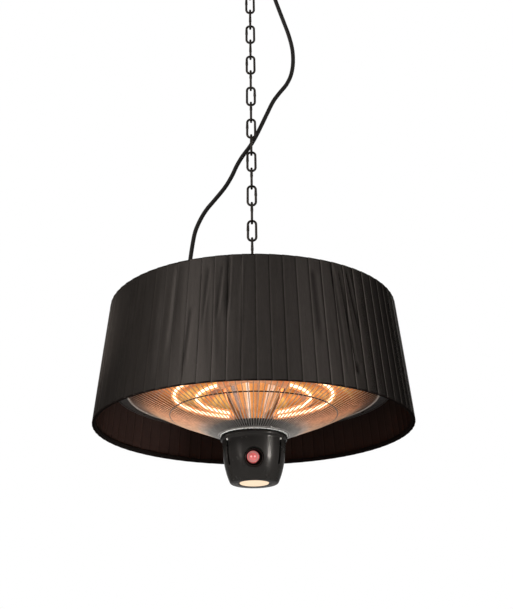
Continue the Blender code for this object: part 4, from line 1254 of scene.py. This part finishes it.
def carrier():
    """The three-armed carrier that hangs the shade under the eye bolt's collar."""
    plate, _ = heights("shade_spider")
    pieces = [flat_ring("hub", HUB_BORE, HUB_RADIUS, plate, plate + HUB_WALL, 64, 0.0004)]
    hoop_height = on_head(SHADE_HEIGHT - 0.003)
    reach = shade_radius(SHADE_HEIGHT) - ARM_INSET
    floor = plate + ARM_WIRE
    run = [Vector((ARM_START, 0, floor)), Vector((ARM_FOOT, 0, floor))]
    for i in range(1, ARM_STEPS + 1):
        share = i / ARM_STEPS
        ease = share * share * (3 - 2 * share)
        out = ARM_FOOT + share * (reach - ARM_LEVEL - ARM_FOOT)
        run.append(Vector((out, 0, floor + (hoop_height - floor) * ease)))
    run.append(Vector((reach, 0, hoop_height)))
    for arm in range(3):
        turn = about_axis(90 + 120 * arm)
        pieces.append(rod("arm", [turn @ p for p in run], ARM_WIRE, 14))
    spider = smooth(joined("shade_carrier", pieces))
    finish_piece(spider, "heater", ENAMEL, "black_steel", "shade_spider")


# Head: housing, flange ring, reflector
HOUSING_SHARES = (
    (0.600, 1.000), (0.650, 0.975), (0.790, 0.770), (0.910, 0.480), (0.970, 0.190), (1.000, 0.000),
)
DISH_SHARES = (
    (0.350, 0.985), (0.560, 0.930), (0.760, 0.790), (0.900, 0.560), (0.965, 0.280), (1.000, 0.000),
)
PAN_WALL = 0.0010
PAN_BORE = 0.0036
PAN_FLAT = 0.060
GLAND_HOLE = 0.0078
FLANGE_WIDTH = 0.015
DISH_RADIUS = 0.192
DISH_BORE = 0.0085
DISH_LIP = 0.0038
DISH_WALL = 0.0007


def housing():
    top = on_head(HOUSING_TOP)
    rise = HOUSING_TOP - HOUSING_EDGE
    outline = [(r * HOUSING_RADIUS, on_head(HOUSING_EDGE + z * rise)) for r, z in HOUSING_SHARES]
    pan = shell("steel_pan", [(PAN_BORE, top), (PAN_FLAT, top), *eased(outline, 4)], PAN_WALL, 144)
    bored(pan, GLAND + Vector((0, 0, top)), GLAND_HOLE)
    finish_piece(pan, "heater", ENAMEL, "black_steel", "housing")

    low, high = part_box("flange_ring")
    outer = high[0]
    flange = flat_ring("edge_ring", outer - FLANGE_WIDTH, outer, low[2], high[2] + 0.0002, 160, PLATE_EDGE)
    finish_piece(flange, "heater", ENAMEL, "black_steel", "flange_ring")

    low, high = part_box("reflector")
    foot = low[2] + 0.0008
    outline = [(r * DISH_RADIUS, foot + z * (high[2] - foot)) for r, z in DISH_SHARES]
    profile = [(DISH_BORE, high[2]), *eased(outline, 5), (DISH_RADIUS + DISH_LIP, foot)]
    dish = shell("polished_dish", profile, DISH_WALL, 144)
    finish_piece(dish, "heater", DISH, "polished_aluminium", "reflector")


# Grille and what it carries
GRILLE_WIRES = 108
GRILLE_OUTER, GRILLE_MIDDLE, GRILLE_INNER = 0.190, 0.1257, 0.0526
OUTER_WIRE, MIDDLE_WIRE, INNER_WIRE, SPOKE_WIRE = 0.0020, 0.0010, 0.0014, 0.0008
MIDDLE_HEIGHT = 0.0195
COLUMN_WALL = 0.0009
COLUMN_LIP = 0.0012
COLUMN_SHARES = (
    (1.000, 0.996), (0.950, 0.930), (0.860, 0.800), (0.750, 0.640), (0.620, 0.480), (0.520, 0.360),
    (0.450, 0.250), (0.405, 0.120), (0.380, 0.012),
)


def grille():
    low, high = heights("grille")
    outer_z, middle_z, inner_z = high - OUTER_WIRE, on_head(MIDDLE_HEIGHT), low + INNER_WIRE
    run = [
        (GRILLE_OUTER + 0.0002, 0, outer_z),
        (GRILLE_OUTER - 0.004, 0, outer_z - 0.0016),
        (GRILLE_MIDDLE, 0, middle_z),
        (GRILLE_INNER + 0.006, 0, inner_z + 0.0030),
        (GRILLE_INNER, 0, inner_z + 0.0006),
    ]
    wire = rod("wire", run, SPOKE_WIRE, 8)
    spin = FULL_TURN / GRILLE_WIRES
    wires = [wire] + [copy_of(wire, Matrix.Rotation(i * spin, 4, "Z")) for i in range(1, GRILLE_WIRES)]
    rings = [
        ring("outer_wire", GRILLE_OUTER, OUTER_WIRE, outer_z, 180, 12),
        ring("inner_wire", GRILLE_INNER, INNER_WIRE, inner_z, 96, 10),
    ]
    cage = joined("wire_guard", wires + rings)
    finish_piece(cage, "heater", WIRE, "grille_steel", "grille")
    hoop = ring("guard_middle_wire", GRILLE_MIDDLE, MIDDLE_WIRE, middle_z + 0.0003, 160, 10)
    finish_piece(hoop, "heater", DARK_RING, "grille_steel")

    low, high = heights("grille_collar")
    profile = [(0.0447, high), (0.0500, high), (0.0506, high - 0.0008)]
    profile += [(0.0506, low + 0.0006), (0.0500, low), (0.0447, low)]
    collar = turned("bright_collar", profile, 128, closed=True)
    finish_piece(collar, "heater", POLISHED, "polished_aluminium", "grille_collar")

    low, high = heights("inner_plate")
    profile = [(0.006, high), (0.0636, high), (0.0650, high - 0.0004)]
    profile += [(0.0650, low + 0.0003), (0.0640, low), (0.006, low)]
    plate = turned("round_plate", profile, 128, closed=True)
    finish_piece(plate, "heater", ENAMEL, "black_steel", "inner_plate")

    low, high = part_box("center_column")
    outline = [(r * high[0], low[2] + z * (high[2] - low[2])) for r, z in COLUMN_SHARES]
    edge = outline[-1][0] + COLUMN_LIP
    profile = eased(outline, 5) + [(edge, low[2] + 0.0008), (edge, low[2])]
    column = shell("polished_column", profile, COLUMN_WALL, 128)
    finish_piece(column, "heater", COLUMN_METAL, "polished_aluminium", "center_column")


# Heating tubes and their holders: each tube's radius about the axis and its height on the head
TUBE_RADII = {"outer": (0.120, 0.050), "inner": (0.086, 0.0465)}
TUBE_REAR_END = 0.033
TUBE_FRONT_END = 0.050
TUBE_RADIUS = 0.005
GLOW_RADIUS = 0.0022
SOCKET_RADIUS = 0.0067
SOCKET_START, SOCKET_END = 0.0008, 0.016
STEM_RADIUS = 0.0052
BAR_HEIGHT = 0.04825
BAR_PAST_STEM = 0.0105
BAR_HALF_WIDTH, BAR_HALF_HEIGHT = 0.007, 0.008
POST_HALF_WIDTH, POST_HALF_LENGTH = 0.004, 0.009


def heating_tubes():
    for name, (radius, height) in TUBE_RADII.items():
        start = -math.degrees(math.acos(TUBE_FRONT_END / radius))
        end = math.degrees(math.acos(TUBE_REAR_END / radius))
        for side_name, side in (("right", 1), ("left", -1)):
            line = [(side * x, y, on_head(height)) for x, y in arc(radius, start, end, 40)]
            core = rod(f"glow_{name}_{side_name}", line[1:-1], GLOW_RADIUS, 10, tip_round=0.0006)
            finish_piece(core, "heater", FILAMENT, "hot_tube")
            tube = rod(f"quartz_{name}_{side_name}", line, TUBE_RADIUS, 16, tip_round=0.001)
            finish_piece(tube, "heater", QUARTZ, "hot_tube", f"heating_tube_{name}_{side_name}")


def tube_holders():
    for node, end, way in (
        ("tube_holder_rear", TUBE_REAR_END, 1),
        ("tube_holder_front", TUBE_FRONT_END, -1),
    ):
        pieces, roots = [], []
        for radius, height in TUBE_RADII.values():
            turn = way * math.acos(end / radius)
            tip = Vector((radius * math.cos(turn), radius * math.sin(turn), on_head(height)))
            along = way * Vector((-math.sin(turn), math.cos(turn), 0))
            root = tip + along * (tip.x / -along.x)
            roots.append(root.y)
            for side in (-1, 1):
                mirror = Vector((side, 1, 1))
                mouth = (tip + along * SOCKET_START) * mirror
                seat = (tip + along * SOCKET_END) * mirror
                pieces.append(cylinder("socket", mouth, seat, SOCKET_RADIUS, 28, 0.0008))
                pieces.append(cylinder("stem", seat, root * mirror, STEM_RADIUS, 20, 0.0004))
        near, far = min(roots) - BAR_PAST_STEM, max(roots) + BAR_PAST_STEM
        middle, top = on_head(BAR_HEIGHT), heights(node)[1]
        wide, tall = BAR_HALF_WIDTH, BAR_HALF_HEIGHT
        pieces.append(block("bar", (-wide, near, middle - tall), (wide, far, middle + tall), 0.0015))
        wide, across = POST_HALF_WIDTH, (near + far) / 2
        near, far = across - POST_HALF_LENGTH, across + POST_HALF_LENGTH
        pieces.append(block("post", (-wide, near, middle), (wide, far, top), 0.0008))
        finish_piece(joined(f"ceramic_{node}", pieces), "heater", CERAMIC_PAINTED_GLOW, "ceramic", node)


# Nose: its lip as (share of the radius, drop), then its wall and foot as shares of radius and depth
NOSE_LIP = ((0.945, 0), (0.988, 0.0004), (1, 0.0018), (1, 0.0044), (0.992, 0.0056), (0.958, 0.0066))
NOSE_SHARES = (
    (0.948, 0.105), (0.928, 0.330), (0.892, 0.560), (0.833, 0.750), (0.780, 0.870), (0.742, 0.940),
)
FOOT_SHARES = ((0.724, 0.972), (0.704, 0.991), (0.680, 1.0))
NOSE_WALL = 0.0022
RECEIVER_HEIGHT = -0.0532
RECEIVER_HOLE = 0.0146
GLINT_ASIDE = 0.0026
SLOT_TURN = math.radians(56)
SLOT_OUT = 0.0445
SLOT_HEIGHT = -0.0400
SLOT_SIZE = (0.0042, 0.018, 0.0400)
STUD_OUT = 0.0474
FACING = Matrix.Rotation(math.radians(90), 4, "X")


def slot_way(side):
    """The way that a nose slot and its screw face: side is -1 for the left one and 1 for the right."""
    return Vector((side * math.sin(SLOT_TURN), -math.cos(SLOT_TURN), 0))


def nose_cup():
    depth = NOSE_TOP - NOSE_BOTTOM
    lip = [(r * NOSE_RADIUS, on_head(NOSE_TOP - drop)) for r, drop in NOSE_LIP]
    body, foot = (
        [(r * NOSE_RADIUS, on_head(NOSE_TOP - z * depth)) for r, z in shares]
        for shares in (NOSE_SHARES, FOOT_SHARES)
    )
    floor = on_head(NOSE_BOTTOM)
    rim = [(0.0236, floor), (0.0228, floor + 0.0006), (0.0220, floor + 0.0006)]
    cup = shell("nose_cup", lip + eased(body, 5) + foot + rim, NOSE_WALL, 128)
    height = on_head(RECEIVER_HEIGHT)
    boolean(cup, cylinder("bore", (0, -0.06, height), (0, -0.02, height), RECEIVER_HOLE, 64))
    for side in (-1, 1):
        spot = slot_way(side) * SLOT_OUT
        slot = added(
            bpy.ops.mesh.primitive_cube_add, "slot", size=1, scale=SLOT_SIZE,
            location=(spot.x, spot.y, on_head(SLOT_HEIGHT)), rotation=(0, 0, side * SLOT_TURN),
        )
        boolean(cup, bevel(slot, 0.0016, 4))
    smooth(bevel(cup, 0.0003, 1, 50))
    finish_piece(cup, "heater", BLACK, "satin_black_plastic", "nose_housing")


def receiver():
    """The recess in the nose, and its red lens with a dull band, a painted ring of reflection, and two light
    dots, painted highlights.
    """
    low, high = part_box("receiver_bezel")
    front, reach = low[1], high[1] - low[1]
    height = on_head(RECEIVER_HEIGHT)
    outline = [(0.0102, -reach + 0.0018), (0.0118, -reach + 0.0030), (0.0130, -0.0012)]
    outline += [(0.0134, -0.0002), (0.0143, 0), (0.0143, -reach)]
    bezel = turned("receiver_bezel_ring", outline, 72, filled=True)
    moved(bezel, Matrix.Translation((0, front, height)) @ FACING)
    finish_piece(bezel, "heater", RECESS, "satin_black_plastic", "receiver_bezel")
    edge = ring("receiver_edge", 0.0127, 0.0004, 0, 72, 8)
    moved(edge, Matrix.Translation((0, front - 0.0001, height)) @ FACING)
    finish_piece(edge, "heater", DARK_RING, "satin_black_plastic")

    low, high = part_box("receiver_lens")
    deep = low[1] - high[1]
    seat = Matrix.Translation(((low[0] + high[0]) / 2, low[1], (low[2] + high[2]) / 2)) @ FACING
    outline = [(0.0088, deep), (0.0088, -0.0008), (0.0082, -0.0001), (0.0078, -0.0001)]
    outline += [(0.0076, -0.0006), (0.0062, -0.0006), (0.0059, -0.0001), (0.0040, 0.0001)]
    lens = moved(turned("receiver_window", outline, 64, filled=True), seat)
    finish_piece(lens, "heater", RED, "red_lens", "receiver_lens")
    # A painted ring of reflection on the lens
    outline = [(0.0077, -0.0007), (0.0077, -0.0004), (0.0061, -0.0004), (0.0061, -0.0007)]
    band = moved(turned("receiver_painted_ring", outline, 64, closed=True), seat)
    finish_piece(band, "heater", LENS_PAINTED_RING, "red_lens")
    # Two painted highlights on the lens
    dots = []
    for side in (-1, 1):
        dot = turned("dot", [(0.0013, -0.0006), (0.0013, 0.0001), (0.0007, 0.0004)], 20, filled=True)
        dots.append(moved(dot, seat @ Matrix.Translation((side * GLINT_ASIDE, 0.0002, 0))))
    finish_piece(joined("receiver_painted_glints", dots), "heater", LENS_PAINTED_GLINTS, "red_lens")


def nose_studs():
    outline = [(0.0017, -0.0070), (0.0017, 0.0), (0.0014, 0.0005), (0.0006, 0.0008)]
    for side_name, side in (("left", -1), ("right", 1)):
        node = f"nose_screw_{side_name}"
        low, high = heights(node)
        out = slot_way(side)
        place = Matrix.Translation(out * STUD_OUT + Vector((0, 0, (low + high) / 2)))
        stud = turned(f"side_stud_{side_name}", outline, 24, filled=True)
        moved(stud, place @ out.to_track_quat("Z", "Y").to_matrix().to_4x4())
        finish_piece(stud, "heater", STUD, "zinc_steel", node)


def lamp_disc():
    low, high = heights("led_lens")
    outline = [(0.0217, high), (0.0217, low + 0.0008), (0.0212, low + 0.0002), (0.0185, low)]
    disc = turned("lamp_disc", [*outline, (0.0100, low + 0.0003)], 96, filled=True)
    finish_piece(disc, "heater", LAMP, "warm_lamp", "led_lens")


# Cable gland and boot on the housing
BOOT_RIBS = 7

# Radii of the boot's ribs at both ends, and how deep the grooves between them are
BOOT_TOP, BOOT_FOOT = 0.0054, 0.0083
BOOT_GROOVE = 0.0008


def housing_gland():
    low, high = heights("cable_gland")
    base = low + 0.0103
    nut = [(0.0085, high), (0.0094, high - 0.0010), (0.0106, high - 0.0030), (0.0106, base + 0.0052)]
    nut += [(0.0098, base + 0.0046), (0.0098, base + 0.0034), (0.0110, base + 0.0028), (0.0110, base)]
    nut += [(0.0075, base), (0.0075, low)]
    gland = moved(turned("gland_nut", nut, 48, filled=True), Matrix.Translation(GLAND))
    finish_piece(gland, "heater", BLACK, "black_rubber", "cable_gland")

    low, high = heights("strain_relief")
    outline = [(0.0044, high), (0.0052, high - 0.0006)]
    for rib in range(BOOT_RIBS):
        top = high - 0.0030 - rib * (high - low - 0.008) / BOOT_RIBS
        grow = BOOT_TOP + (BOOT_FOOT - BOOT_TOP) * (rib + 0.5) / BOOT_RIBS
        groove = grow - BOOT_GROOVE
        outline += [(groove, top), (grow, top - 0.0005), (grow, top - 0.0024), (groove, top - 0.0029)]
    outline += [(0.0084, low + 0.0030), (0.0084, low)]
    boot = moved(turned("cable_boot", outline, 40, filled=True), Matrix.Translation(GLAND))
    finish_piece(boot, "heater", RUBBER, "black_rubber", "strain_relief")


# Screw heads under the flange and on the pan, each as (how many, distance from the axis)
FLANGE_SCREWS = (6, 0.2015)
PAN_SCREWS = (3, 0.045)


def screw_heads():
    """One pan head with a crossed slot, copied to each place."""
    outline = [(0.0030, 0.0), (0.0030, 0.0006), (0.0024, 0.0014), (0.0012, 0.0017)]
    head = turned("screw", outline, 24, filled=True)
    for turn in (0, 90):
        slot = added(
            bpy.ops.mesh.primitive_cube_add, "slot", size=1, location=(0, 0, 0.0016),
            rotation=(0, 0, math.radians(turn)), scale=(0.0034, 0.0006, 0.0012),
        )
        boolean(head, slot)
    smooth(head)
    under = Matrix.Rotation(math.radians(180), 4, "X")
    heads = []
    for (count, reach), height, lay in (
        (FLANGE_SCREWS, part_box("flange_ring")[0][2] + 0.0001, under),
        (PAN_SCREWS, on_head(HOUSING_TOP) - 0.0001, Matrix()),
    ):
        for number in range(count):
            spin = about_axis(30 + 360 / count * number)
            heads.append(copy_of(head, spin @ Matrix.Translation((reach, 0, height)) @ lay))
    bpy.data.objects.remove(head, do_unlink=True)
    finish_piece(joined("head_screws", heads), "heater", ZINC, "zinc_steel")


def dress_kept_nodes():
    """Nodes that keep their own shape get their finish here."""
    for material, names in (
        (BOARD, ("led_board", "control_board")),
        (CERAMIC_PAINTED_GLOW, ("terminal_block",)),
        (BLACK, ("nose_base",)),
        (ZINC, ("thermal_cutout", "ceiling_plate", "eye_nut")),
    ):
        for name in names:
            paint(nodes[name], material)


studio()
cable()
ceiling_fitting()
chain()
snap_hook()
eye_bolt()
hoops()
shade()
carrier()
housing()
grille()
heating_tubes()
tube_holders()
nose_cup()
receiver()
nose_studs()
lamp_disc()
housing_gland()
screw_heads()
dress_kept_nodes()
